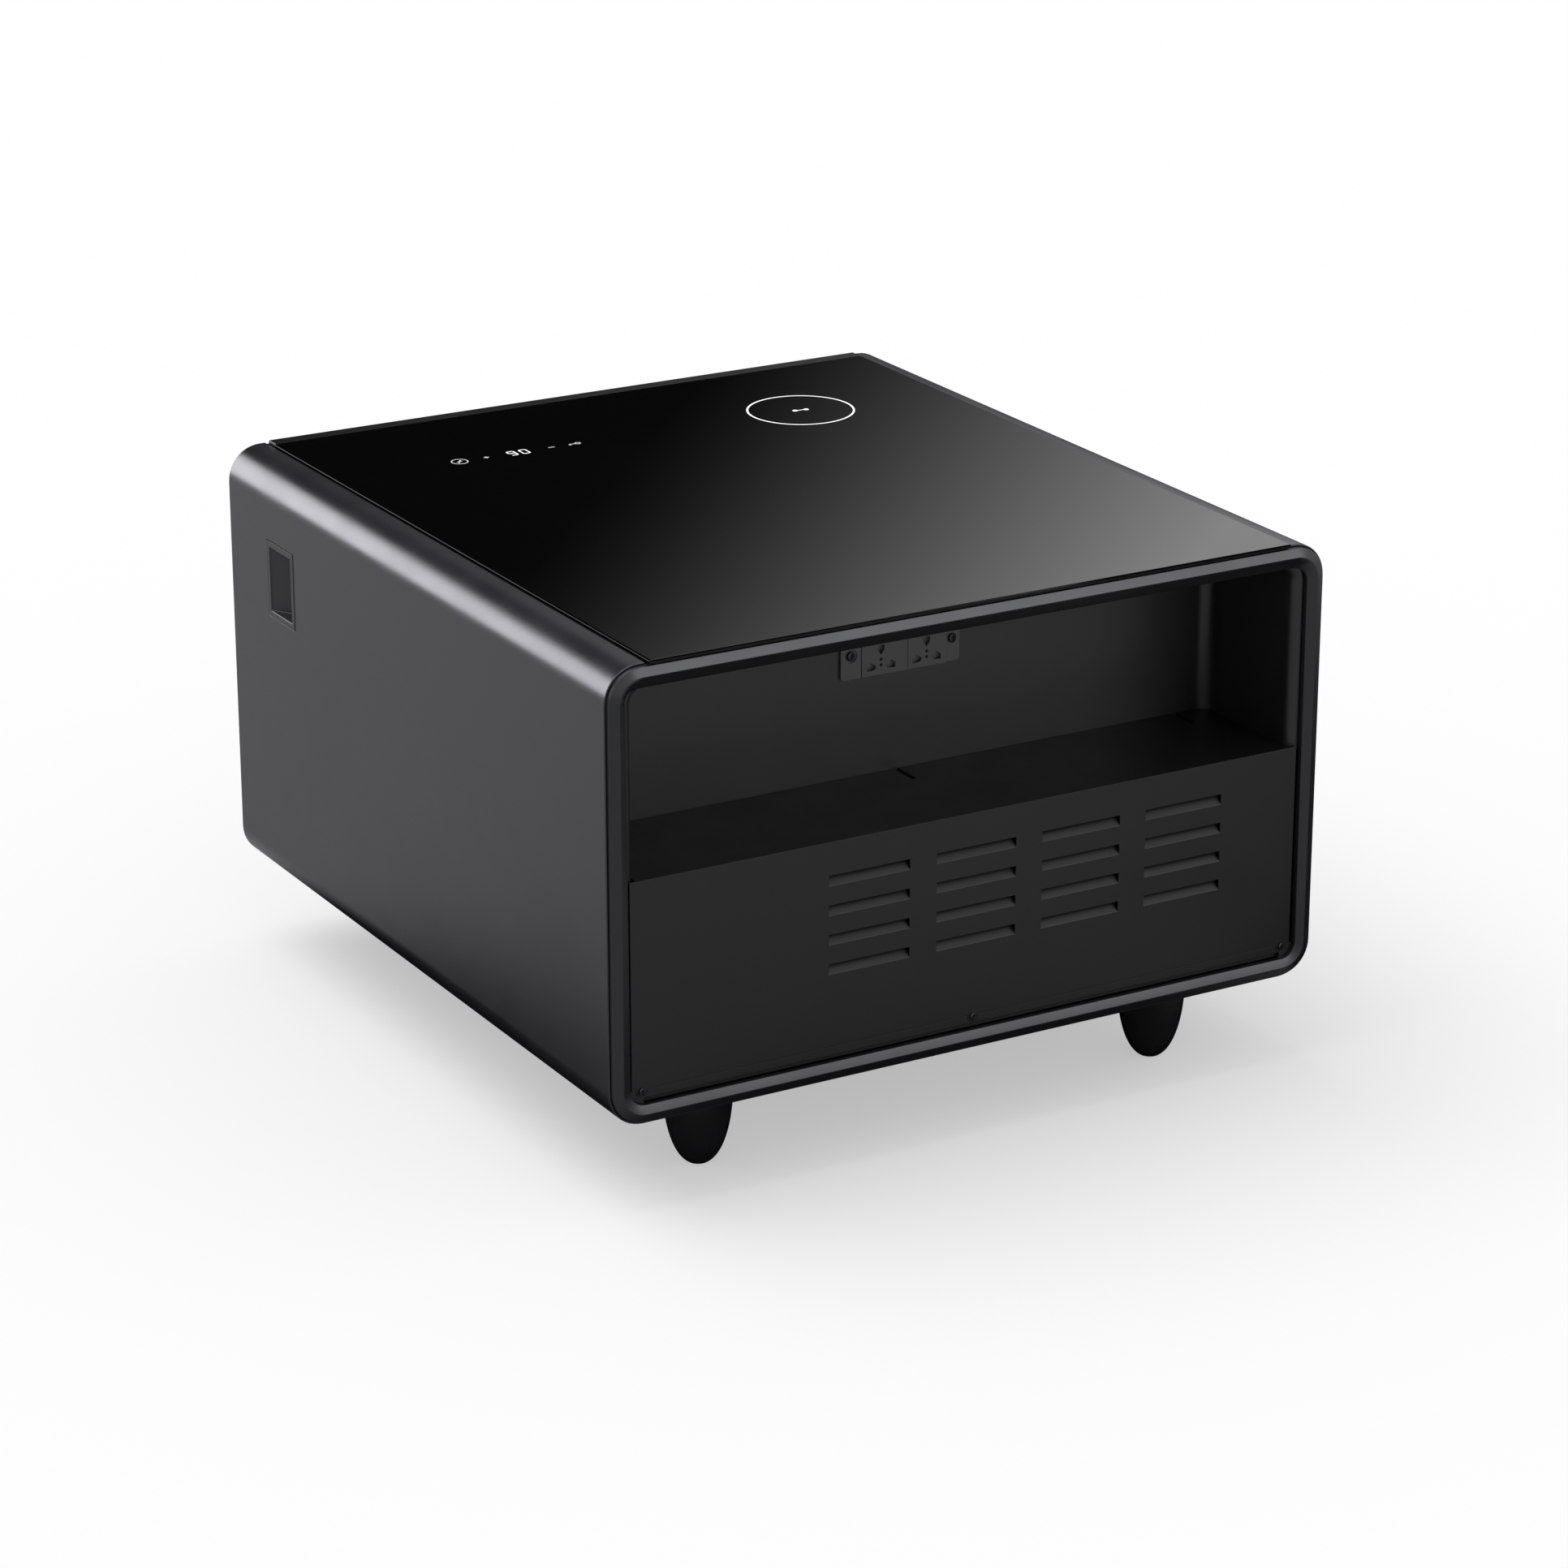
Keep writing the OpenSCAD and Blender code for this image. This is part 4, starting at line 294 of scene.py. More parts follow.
def finish(name, colour, drift, rough, grain=1.0, relief=0.0, spread=0.03, mottle=45, metallic=0.0,
           ior=1.5, specular=0.5, hue="ffffff", stretch=(1, 1, 1), cells=False, glow=0.0):
    """A finish whose linear colour and roughness drift over mottle mm, under a relief of grain mm."""
    made = blank(name)
    tree = made.node_tree
    place = add(tree, "ShaderNodeTexCoord").outputs["Object"]
    cloud = add(tree, "ShaderNodeTexNoise", None,
                {"Vector": place, "Scale": 1 / (mottle * MM), "Detail": 3.0}).outputs[0]
    tint = add(tree, "ShaderNodeMix", {"data_type": "RGBA"},
               {MIX_FACTOR: cloud, MIX_FIRST: colour, MIX_SECOND: drift})
    dull = add(tree, "ShaderNodeMapRange", None,
               {"Value": cloud, "From Min": NOISE_LOW, "From Max": NOISE_HIGH,
                "To Min": max(rough - spread, SMOOTHEST), "To Max": rough + spread})
    links = {"Base Color": tint.outputs[MIX_RESULT], "Roughness": dull.outputs[0],
             "Metallic": metallic}
    if not metallic:
        links.update({"IOR": ior, "Specular IOR Level": specular, "Specular Tint": linear(hue)})
    if glow:
        links.update({"Emission Color": colour, "Emission Strength": glow})
    if relief:
        drawn = add(tree, "ShaderNodeMapping", None, {"Vector": place, "Scale": stretch}).outputs[0]
        pattern = {"Vector": drawn, "Scale": 1 / (grain * MM)}
        if cells:
            height = add(tree, "ShaderNodeTexVoronoi", None, pattern).outputs[0]
        else:
            height = add(tree, "ShaderNodeTexNoise", None, {**pattern, "Detail": 2.0}).outputs[0]
        links["Normal"] = add(tree, "ShaderNodeBump", None,
                              {"Distance": relief * MM, "Height": height}).outputs[0]
    shader = add(tree, "ShaderNodeBsdfPrincipled", None, links)
    add(tree, "ShaderNodeOutputMaterial", None, {"Surface": shader.outputs[0]})
    return made


def colours(slot):
    """A slot's colour, as the user has set it, and its drift, which keeps its share of the colour."""
    colour, drift = linear(FINISHES[slot]["colour"]), linear(FINISHES[slot]["drift"])
    chosen = getattr(bpy.context.scene.nightstand_colours, slot, None)
    if chosen is None:
        return colour, drift
    return [*chosen, 1.0], [c * d / start for c, d, start in zip(chosen, drift, colour)] + [1.0]


def material(slot):
    """The finish of a slot, made when it is first asked for."""
    row = FINISHES[slot]
    made = bpy.data.materials.get(row["name"])
    if made:
        return made
    colour, drift = colours(slot)
    return finish(**{**row, "colour": colour, "drift": drift})


# ---------------------------------------------------------------- what a user may change

def length(label, note, value):
    """A length property in metres, given in millimetres."""
    return FloatProperty(name=label, description=note, default=value * MM, min=0, max=1,
                         unit="LENGTH", precision=5)


def tone(label, note, slot):
    """A colour property that starts as the colour in a slot's row."""
    return FloatVectorProperty(name=label, description=note, size=3, subtype="COLOR", min=0, max=1,
                               default=linear(FINISHES[slot]["colour"])[:3])


class NightstandColours(bpy.types.PropertyGroup):
    """The colours that show most, each named for its slot and read when its finish is first made."""
    gunmetal_paint: tone("Wrap", "Powder coat of the sheet steel wrap", "gunmetal_paint")
    dark_ring: tone("Trim rings", "Paint of the two trim rings", "dark_ring")
    black_glass: tone("Glass top", "Paint behind the glass top", "black_glass")
    cover_steel: tone("Rear cover", "Powder coat of the louvred cover", "cover_steel")
    front_paint: tone("Drawer front", "Powder coat of the drawer's front", "front_paint")
    foot_plastic: tone("Feet", "Nylon of the four feet", "foot_plastic")


class NightstandEdges(bpy.types.PropertyGroup):
    """Widths of the small roundings along the pieces' edges."""
    sheet: length("Sheet edges", "Rounding along the edges of the sheet steel wrap", 0.6)
    moulded: length("Moulded edges", "Rounding along moulded plastic edges", 0.5)
    glass: length("Glass edges", "Rounding along the ground glass edges", 0.25)
    fine: length("Fine edges", "Rounding along small fittings and thin sheet", 0.2)
    grip: length("Grip edges", "Rounding along the side grips' frames", 0.75)


class NightstandPrint(bpy.types.PropertyGroup):
    """The marks on the glass top."""
    ring_d: length("Ring", "Diameter of the charging ring's centre line", 82)
    ring_line: length("Ring line", "Width of the charging ring's line", 1.5)
    ring_x: length("Ring X", "Distance of the ring's centre from the middle, towards -X", 133)
    ring_y: length("Ring Y", "Distance of the ring's centre from the middle, towards -Y", 168.6)
    digit_h: length("Digit height", "Height of the two digits", 11)
    digit_w: length("Digit width", "Width of a digit", 6.6)
    digit_line: length("Digit line", "Width of a digit's segments", 1.15)
    digit_x: length("Digits X", "Distance of the first digit from the middle, towards +X", 103.3)
    digit_pitch: length("Digit pitch", "Distance from the first digit to the second", 10.1)
    row_y: length("Key row Y", "Distance of the row of keys from the middle, towards -Y", 172.5)
    power_x: length("Power key X", "Distance of the power key from the middle, towards +X", 157.1)
    plus_x: length("Plus key X", "Distance of the plus key from the middle, towards +X", 135)
    minus_x: length("Minus key X", "Distance of the minus key from the middle, towards +X", 80.5)
    lock_x: length("Lock key X", "Distance of the lock key from the middle, towards +X", 60.6)
    depth: length("Print depth", "Thickness of the print", 0.03)


class NightstandFeet(bpy.types.PropertyGroup):
    """The bullet feet."""
    radius: length("Radius", "Radius of a foot at its top", 25)
    fullness: FloatProperty(name="Fullness", default=2.3, min=1.5, max=4,
                            description="How square the profile is, 2 being an ellipse")
    cut: FloatProperty(name="Cut", default=0.97, min=0.5, max=0.999,
                       description="Share of the profile left above the flat tip")
    steps: IntProperty(name="Steps", default=44, min=8, max=200,
                       description="Rings of faces up a foot")


class NightstandStage(bpy.types.PropertyGroup):
    """Floor, lamps and camera."""
    floor_grey: FloatProperty(name="Floor grey", default=0.55, min=0, max=1,
                              description="Diffuse colour of the floor")
    floor_lift: FloatProperty(name="Floor lift", default=0.46, min=0, max=1,
                              description="White that the floor adds for the eye")
    world_light: FloatProperty(name="Sky light", default=0.6, min=0, max=5,
                               description="Light from all round")
    sun_light: FloatProperty(name="Overhead light", default=1.3, min=0, max=20,
                             description="Strength of the soft overhead lamp")
    strip_power: FloatProperty(name="Strip light", default=72, min=0, unit="POWER",
                               description="Power of the strip that lights the shoulder")
    box_power: FloatProperty(name="Rear box", default=50, min=0, unit="POWER",
                             description="Power of the box behind the rear face")
    lens: FloatProperty(name="Lens", default=111.95, min=10,
                        description="Focal length on a 36 mm frame, in millimetres")
    camera: FloatVectorProperty(name="Camera", size=3, default=(1.6882, 2.9603, 1.4072),
                                subtype="XYZ", unit="LENGTH", description="Place of the camera")
    aim: FloatVectorProperty(name="Aim", size=3, default=(-0.46985, -0.81380, -0.34202),
                             subtype="XYZ", description="Direction in which the camera looks")


# ---------------------------------------------------------------- pieces made from the CAD's solids

def softened(node, width, body=CABINET, reshape=None, merged=True):
    """Makes a copy of a CAD node with rounded edges, after reshape has moved its vertices."""
    shape = bmesh.new()
    shape.from_mesh(frame["nodes"][node].data)
    bmesh.ops.remove_doubles(shape, verts=shape.verts, dist=WELD)
    if reshape:
        reshape(shape)
    # A face with several holes is left in its triangles, since one outline can't draw it
    if merged:
        bmesh.ops.dissolve_limit(shape, angle_limit=FLAT, verts=shape.verts, edges=shape.edges,
                                 use_dissolve_boundaries=False, delimit=set())
    mesh = mesh_of(node, shape)
    mesh.polygons.foreach_set("use_smooth", [True] * len(mesh.polygons))
    rounded = modified(mesh, "BEVEL", width=width, segments=2, limit_method="ANGLE",
                       angle_limit=EDGE, use_clamp_overlap=False)
    rounded.set_sharp_from_angle(angle=CREASE)
    mesh = modified(rounded, "WEIGHTED_NORMAL", weight=100, keep_sharp=True)
    piece(node + "_soft", mesh, material(SLOTS[node]), body, (node,))


def beside(vertex):
    """The vertices linked to one that stand straight in front of it or behind it."""
    others = (edge.other_vert(vertex) for edge in vertex.link_edges)
    return [v for v in others if (v.co - vertex.co).xz.length < NEAR]


def leaning_ring(shape):
    """Leans the inner facet of the rear ring's upper bar back into the niche."""
    facet_rise, lean_below_top, lean_height = 3.5 * MM, 29.4 * MM, 16 * MM
    most_down, most_back = 3 * MM, 5 * MM
    rim_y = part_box("outer_shell")[1].y + facet_rise
    start_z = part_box("rear_trim_ring")[1].z - lean_below_top
    rim = [v for v in shape.verts if abs(v.co.y - rim_y) < NEAR]
    for vertex in rim:
        # The lean grows round the corners, from nothing to all of it along the bar
        share = min(max((vertex.co.z - start_z) / lean_height, 0), 1)
        for moved in (vertex, *beside(vertex)):
            moved.co.z -= most_down * share
        vertex.co.y -= most_back * share


def banded_sill(shape):
    """Shows the sill's bead as the dark band that it makes: sunk into the face, with a higher top."""
    proud, depth, extra_height = 1 * MM, 3.8 * MM, 1.5 * MM
    face_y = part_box("rear_cover")[1].y
    bead = [v for v in shape.verts if v.co.y > face_y + proud]
    middle = sum(v.co.z for v in bead) / len(bead)
    for vertex in bead:
        lift = extra_height if vertex.co.z > middle else 0
        for moved in (vertex, *beside(vertex)):
            moved.co.z += lift
        vertex.co.y = face_y - depth


def ground_glass(shape):
    """Makes room for the print on the glass and grinds its rear edge back towards the lower side."""
    ground_back, rear_strip = 2.2 * MM, 1 * MM
    low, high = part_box("glass_top")
    face_z = high.z - bpy.context.scene.nightstand_print.depth
    for vertex in shape.verts:
        vertex.co.z = min(vertex.co.z, face_z)
        if vertex.co.z < low.z + NEAR and vertex.co.y > high.y - rear_strip:
            vertex.co.y -= ground_back


# ---------------------------------------------------------------- pieces grown by geometry nodes

def new_tree(name, sizes):
    """A geometry tree with named inputs for its sizes, and the node that gives them."""
    tree = bpy.data.node_groups.new(name, "GeometryNodeTree")
    tree.interface.new_socket("Geometry", in_out="OUTPUT", socket_type="NodeSocketGeometry")
    for label, kind in sizes.items():
        tree.interface.new_socket(label, in_out="INPUT", socket_type="NodeSocket" + kind)
    return tree, add(tree, "NodeGroupInput")


def grow(name, tree, values, replaced, slot):
    """Runs a geometry tree with these sizes, and makes its result a plain piece of the cabinet."""
    holder = linked(name, bpy.data.meshes.new(name))
    nodes = holder.modifiers.new("nodes", "NODES")
    nodes.node_group = tree
    named = {s.name: s.identifier for s in tree.interface.items_tree if s.in_out == "INPUT"}
    for label, value in values.items():
        nodes[named[label]] = value
    nodes[named["Material"]] = material(slot)
    mesh = baked(holder)
    if not mesh.polygons:
        raise RuntimeError(f"{name} came out empty")
    shape = bmesh.new()
    shape.from_mesh(mesh)
    bmesh.ops.remove_doubles(shape, verts=shape.verts, dist=0.001 * MM)
    bmesh.ops.recalc_face_normals(shape, faces=shape.faces)
    shape.to_mesh(mesh)
    shape.free()
    mesh.set_sharp_from_angle(angle=GROWN_CREASE)
    piece(name, mesh, material(slot), CABINET, replaced)


def closing(tree, geometry, source):
    """The end of every geometry tree: real geometry, smooth, with its material."""
    real = add(tree, "GeometryNodeRealizeInstances", None, {0: geometry})
    smooth = add(tree, "GeometryNodeSetShadeSmooth", None, {0: real.outputs[0]})
    coated = add(tree, "GeometryNodeSetMaterial", None,
                 {"Geometry": smooth.outputs[0], "Material": source.outputs["Material"]})
    add(tree, "NodeGroupOutput", None, {0: coated.outputs[0]})


def turned(tree, height, radius, fullness, cut, steps, sides):
    """Nodes that turn a body along Z, wide end at 0 and its blunt tip at height."""
    top = add(tree, "ShaderNodeCombineXYZ", None, {"Z": height})
    line = add(tree, "GeometryNodeCurvePrimitiveLine", None, {"End": top.outputs[0]})
    fine = add(tree, "GeometryNodeResampleCurve", None, {"Curve": line.outputs[0], "Count": steps})
    # Radius x (1 - share^fullness)^(1 / fullness) at each share of the height
    along = add(tree, "GeometryNodeSplineParameter").outputs["Factor"]
    share = add(tree, "ShaderNodeMath", {"operation": "MULTIPLY"}, {0: along, 1: cut}).outputs[0]
    power = add(tree, "ShaderNodeMath", {"operation": "POWER"}, {0: share, 1: fullness}).outputs[0]
    left = add(tree, "ShaderNodeMath", {"operation": "SUBTRACT"}, {0: 1.0, 1: power}).outputs[0]
    inverse = add(tree, "ShaderNodeMath", {"operation": "DIVIDE"}, {0: 1.0, 1: fullness}).outputs[0]
    root = add(tree, "ShaderNodeMath", {"operation": "POWER"}, {0: left, 1: inverse}).outputs[0]
    wide = add(tree, "ShaderNodeMath", {"operation": "MULTIPLY"}, {0: root, 1: radius}).outputs[0]
    circle = add(tree, "GeometryNodeCurvePrimitiveCircle", None,
                 {"Resolution": sides, "Radius": 1.0})
    return add(tree, "GeometryNodeCurveToMesh", None,
               {"Curve": fine.outputs[0], "Profile Curve": circle.outputs[0], "Scale": wide,
                "Fill Caps": True}).outputs[0]


FOOT_SIDES = 72


def feet_tree():
    """Four turned bullet feet, hung from the corners of a rectangle at Height."""
    tree, sizes = new_tree("bullet_feet", {
        "Height": "Float", "Radius": "Float", "Fullness": "Float", "Cut": "Float", "Steps": "Int",
        "Span X": "Float", "Span Y": "Float", "Material": "Material"})
    out = sizes.outputs
    down = add(tree, "ShaderNodeMath", {"operation": "MULTIPLY"}, {0: out["Height"], 1: -1.0})
    foot = turned(tree, down.outputs[0], out["Radius"], out["Fullness"], out["Cut"], out["Steps"],
                  FOOT_SIDES)
    corners = add(tree, "GeometryNodeMeshGrid", None,
                  {"Size X": out["Span X"], "Size Y": out["Span Y"],
                   "Vertices X": 2, "Vertices Y": 2})
    lift = add(tree, "ShaderNodeCombineXYZ", None, {"Z": out["Height"]})
    raised = add(tree, "GeometryNodeTransform", None,
                 {"Geometry": corners.outputs[0], "Translation": lift.outputs[0]})
    placed = add(tree, "GeometryNodeInstanceOnPoints", None,
                 {"Points": raised.outputs[0], "Instance": foot})
    closing(tree, placed.outputs[0], sizes)
    return tree


# A pan head is a nearly square profile of few rings. Its recess is cut by two crossed bars, which
# straddle the top: RECESS_DEPTH head heights tall, RECESS_SPAN widths long and turned by CROSS_TURN
HEAD_FULLNESS, HEAD_CUT, HEAD_STEPS, HEAD_SIDES = 6.0, 0.985, 14, 40
RECESS_DEPTH, RECESS_SPAN = 1.3, 4.2
CROSS_TURN = math.radians(20)
SHANK_SIDES = 24


def screw_tree():
    """A row of pan-head screws with a cross recess, heads towards +Y."""
    tree, sizes = new_tree("cross_head_screws", {
        "Head radius": "Float", "Head height": "Float", "Shank radius": "Float",
        "Shank length": "Float", "Recess": "Float", "Count": "Int", "Start": "Vector",
        "Offset": "Vector", "Material": "Material"})
    out = sizes.outputs
    head = turned(tree, out["Head height"], out["Head radius"], HEAD_FULLNESS, HEAD_CUT, HEAD_STEPS,
                  HEAD_SIDES)
    deep = add(tree, "ShaderNodeMath", {"operation": "MULTIPLY"},
               {0: out["Head height"], 1: RECESS_DEPTH})
    wide = add(tree, "ShaderNodeMath", {"operation": "MULTIPLY"},
               {0: out["Recess"], 1: RECESS_SPAN})
    cross = add(tree, "GeometryNodeJoinGeometry")
    for long, short in (("X", "Y"), ("Y", "X")):
        size = add(tree, "ShaderNodeCombineXYZ", None,
                   {long: wide.outputs[0], short: out["Recess"], "Z": deep.outputs[0]})
        cube = add(tree, "GeometryNodeMeshCube", None, {"Size": size.outputs[0]})
        tree.links.new(cube.outputs[0], cross.inputs[0])
    at_top = add(tree, "ShaderNodeCombineXYZ", None, {"Z": out["Head height"]})
    raised = add(tree, "GeometryNodeTransform", None,
                 {"Geometry": cross.outputs[0], "Translation": at_top.outputs[0]})
    cut = add(tree, "GeometryNodeMeshBoolean", {"operation": "DIFFERENCE"},
              {"Mesh 1": head, "Mesh 2": raised.outputs[0]})
    shank = add(tree, "GeometryNodeMeshCylinder", None,
                {"Vertices": SHANK_SIDES, "Radius": out["Shank radius"],
                 "Depth": out["Shank length"]})
    half = add(tree, "ShaderNodeMath", {"operation": "MULTIPLY"}, {0: out["Shank length"], 1: -0.5})
    below = add(tree, "ShaderNodeCombineXYZ", None, {"Z": half.outputs[0]})
    lowered = add(tree, "GeometryNodeTransform", None,
                  {"Geometry": shank.outputs["Mesh"], "Translation": below.outputs[0]})
    screw = add(tree, "GeometryNodeJoinGeometry")
    tree.links.new(cut.outputs[0], screw.inputs[0])
    tree.links.new(lowered.outputs[0], screw.inputs[0])
    row = add(tree, "GeometryNodeMeshLine", None,
              {"Count": out["Count"], "Start Location": out["Start"], "Offset": out["Offset"]})
    placed = add(tree, "GeometryNodeInstanceOnPoints", None,
                 {"Points": row.outputs[0], "Instance": screw.outputs[0],
                  "Rotation": (-math.pi / 2, 0.0, CROSS_TURN)})
    closing(tree, placed.outputs[0], sizes)
    return tree


def screw_row(name, node, seat_y, head_radius, recess, count):
    """Grows the row of screws along X that stands for a CAD node, with its heads seated at seat_y."""
    low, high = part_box(node)
    pitch = (high.x - low.x - 2 * head_radius) / (count - 1)
    grow(name, screw_tree(), {
        "Head radius": head_radius, "Head height": high.y - seat_y, "Shank radius": 1.5 * MM,
        "Shank length": seat_y - low.y, "Recess": recess, "Count": count,
        "Start": (low.x + head_radius, seat_y, (low.z + high.z) / 2), "Offset": (pitch, 0, 0),
    }, (node,), "screw_steel")


# ---------------------------------------------------------------- marks printed on the glass

def flat_marks(name, outlines, slot):
    """Makes closed outlines in X and Y a thin print on the glass top."""
    top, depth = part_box("glass_top")[1].z, bpy.context.scene.nightstand_print.depth
    shape = bmesh.new()
    for outline in outlines:
        shape.faces.new([shape.verts.new((x, y, top - depth)) for x, y in outline])
    raised = bmesh.ops.extrude_face_region(shape, geom=list(shape.faces))
    moved = [v for v in raised["geom"] if isinstance(v, bmesh.types.BMVert)]
    bmesh.ops.translate(shape, vec=(0, 0, depth), verts=moved)
    bmesh.ops.recalc_face_normals(shape, faces=shape.faces)
    piece(name, mesh_of(name, shape), material(slot), CABINET)


def ring_band(cx, cy, r_in, r_out, steps):
    """Quads of a flat band round a centre, as outlines."""
    def corner(angle, r):
        return cx + r * math.cos(angle), cy + r * math.sin(angle)

    at = [math.tau * i / steps for i in range(steps + 1)]
    return [[corner(a, r_in), corner(a, r_out), corner(b, r_out), corner(b, r_in)]
            for a, b in zip(at, at[1:])]


def disc(cx, cy, r, steps=32):
    """A round outline."""
    at = [math.tau * i / steps for i in range(steps)]
    return [(cx + r * math.cos(a), cy + r * math.sin(a)) for a in at]


def bar(x0, y0, x1, y1, width):
    """A straight line of a width, as an outline."""
    along = Vector((x1 - x0, y1 - y0)).normalized()
    side = Vector((-along.y, along.x)) * width / 2
    return [(x0 - side.x, y0 - side.y), (x1 - side.x, y1 - side.y),
            (x1 + side.x, y1 + side.y), (x0 + side.x, y0 + side.y)]


# Segments that light up for a digit, in this order: top, upper left, upper right, middle, lower left,
# lower right, bottom. Each stops short of its neighbours by SEGMENT_GAP, a share of its width
SEGMENTS = {"0": (1, 1, 1, 0, 1, 1, 1), "6": (1, 1, 0, 1, 1, 1, 1)}
SEGMENT_GAP = 0.08


def digit(value, cx, cy, marks):
    """The lit segments of a digit that reads upright from the front, with cut ends, as outlines."""
    half, gap = marks.digit_line / 2, marks.digit_line * SEGMENT_GAP
    x, y = marks.digit_w / 2 - half, marks.digit_h / 2 - half

    def level(row):
        left, right = cx - x + gap, cx + x - gap
        return [(left, row), (left + half, row + half), (right - half, row + half),
                (right, row), (right - half, row - half), (left + half, row - half)]

    def upright(column, start, end):
        low, high = start + gap, end - gap
        return [(column, low), (column + half, low + half), (column + half, high - half),
                (column, high), (column - half, high - half), (column - half, low + half)]

    shapes = (level(cy + y), upright(cx - x, cy, cy + y), upright(cx + x, cy, cy + y), level(cy),
              upright(cx - x, cy - y, cy), upright(cx + x, cy - y, cy), level(cy - y))
    return [s for s, lit in zip(shapes, SEGMENTS[value]) if lit]


def charging_mark(marks):
    """The charging ring, with two dots and a bar between them at its centre, as outlines."""
    x, y, half = -marks.ring_x, -marks.ring_y, marks.ring_line / 2
    reach, slant, link = 3.4 * MM, 0.6 * MM, 1.1 * MM
    knob_x, knob_r = 1.35 * reach, 0.62 * reach
    shapes = ring_band(x, y, marks.ring_d / 2 - half, marks.ring_d / 2 + half, steps=144)
    shapes.append(disc(x - knob_x, y + slant, knob_r))
    shapes.append(disc(x + knob_x, y - slant, knob_r))
    shapes.append(bar(x - reach, y, x + reach, y, link))
    return shapes


def key_marks(marks):
    """The key symbols beside the digits: a ringed bolt, plus, minus and a small key, as outlines."""
    power, plus, minus, lock = marks.power_x, marks.plus_x, marks.minus_x, marks.lock_x
    y = -marks.row_y
    line, arm = 1.0 * MM, 2.2 * MM
    ring_in, ring_out, bolt_in, bolt_out = 5.7 * MM, 6.6 * MM, 0.4 * MM, 3 * MM
    bow_in, bow_out = 1.4 * MM, 2.4 * MM
    dash, key_end, bit_x, bit_end = 1.2 * arm, 2.4 * arm, 2.2 * arm, 1.2 * arm
    shapes = ring_band(power, y, ring_in, ring_out, steps=48)
    for side in (-1, 1):
        shapes.append(bar(power, y + side * bolt_in, power + side * arm, y + side * bolt_out, line))
    shapes.append(bar(power - arm, y - line / 2, power + arm, y + line / 2, line))
    shapes.append(bar(plus - arm, y, plus + arm, y, line))
    for side in (-1, 1):
        shapes.append(bar(plus, y + side * line / 2, plus, y + side * arm, line))
    shapes.append(bar(minus - dash, y, minus + dash, y, line))
    shapes += ring_band(lock - arm, y, bow_in, bow_out, steps=24)
    shapes.append(bar(lock, y, lock + key_end, y, line))
    shapes.append(bar(lock + bit_x, y + line / 2, lock + bit_x, y + bit_end, line))
    return shapes


# ---------------------------------------------------------------- operators

class NIGHTSTAND_OT_finishes(bpy.types.Operator):
    """Give every CAD node the finish of its slot"""
    bl_idname = "nightstand.finishes"
    bl_label = "Finishes"

    def execute(self, context):
        for name, node in frame["nodes"].items():
            node.material_slots[0].material = material(SLOTS[name])
        return {"FINISHED"}


class NIGHTSTAND_OT_wrap(bpy.types.Operator):
    """Build the sheet steel wrap, its two trim rings and the side grips"""
    bl_idname = "nightstand.wrap"
    bl_label = "Wrap, rings and grips"

    def execute(self, context):
        edges = context.scene.nightstand_edges
        softened("outer_shell", edges.sheet)
        softened("front_trim_ring", edges.moulded)
        softened("rear_trim_ring", edges.moulded, reshape=leaning_ring)
        softened("side_grip_left", edges.grip)
        softened("side_grip_right", edges.grip)
        return {"FINISHED"}


class NIGHTSTAND_OT_glass(bpy.types.Operator):
    """Build the glass top, its trim bar and the marks printed on it"""
    bl_idname = "nightstand.glass"
    bl_label = "Glass top"

    def execute(self, context):
        edges, marks = context.scene.nightstand_edges, context.scene.nightstand_print
        softened("glass_top", edges.glass, reshape=ground_glass)
        softened("glass_front_trim", edges.fine)
        softened("top_tray", edges.fine)
        flat_marks("charging_ring_print", charging_mark(marks), "print_bright")
        digits = digit("0", marks.digit_x, -marks.row_y, marks)
        digits += digit("6", marks.digit_x + marks.digit_pitch, -marks.row_y, marks)
        flat_marks("display_digits_print", digits, "print_bright")
        # The keys' print carries a painted glow
        flat_marks("key_print", key_marks(marks), "print_dim")
        return {"FINISHED"}


class NIGHTSTAND_OT_niche(bpy.types.Operator):
    """Build the rear niche, its floor and the sockets in its back wall"""
    bl_idname = "nightstand.niche"
    bl_label = "Niche and sockets"

    def execute(self, context):
        edges = context.scene.nightstand_edges
        softened("niche_liner", edges.fine)
        softened("niche_floor", edges.fine)
        softened("socket_plate", edges.fine, merged=False)
        softened("socket_module_1", edges.fine)
        softened("socket_module_2", edges.fine)
        plate_under_heads = 0.8 * MM
        seat_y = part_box("socket_plate")[0].y + plate_under_heads
        screw_row("socket_screw_heads", "socket_screws", seat_y, head_radius=3.6 * MM,
                  recess=0.9 * MM, count=2)
        return {"FINISHED"}


class NIGHTSTAND_OT_cover(bpy.types.Operator):
    """Build the louvred cover, the sill and the cover's screws"""
    bl_idname = "nightstand.cover"
    bl_label = "Rear cover"

    def execute(self, context):
        edges = context.scene.nightstand_edges
        softened("rear_cover", edges.fine)
        softened("rear_sill", edges.fine, reshape=banded_sill)
        low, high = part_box("rear_cover_screws")
        screw_row("cover_screw_heads", "rear_cover_screws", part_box("rear_cover")[1].y,
                  head_radius=(high.z - low.z) / 2, recess=0.8 * MM, count=3)
        return {"FINISHED"}


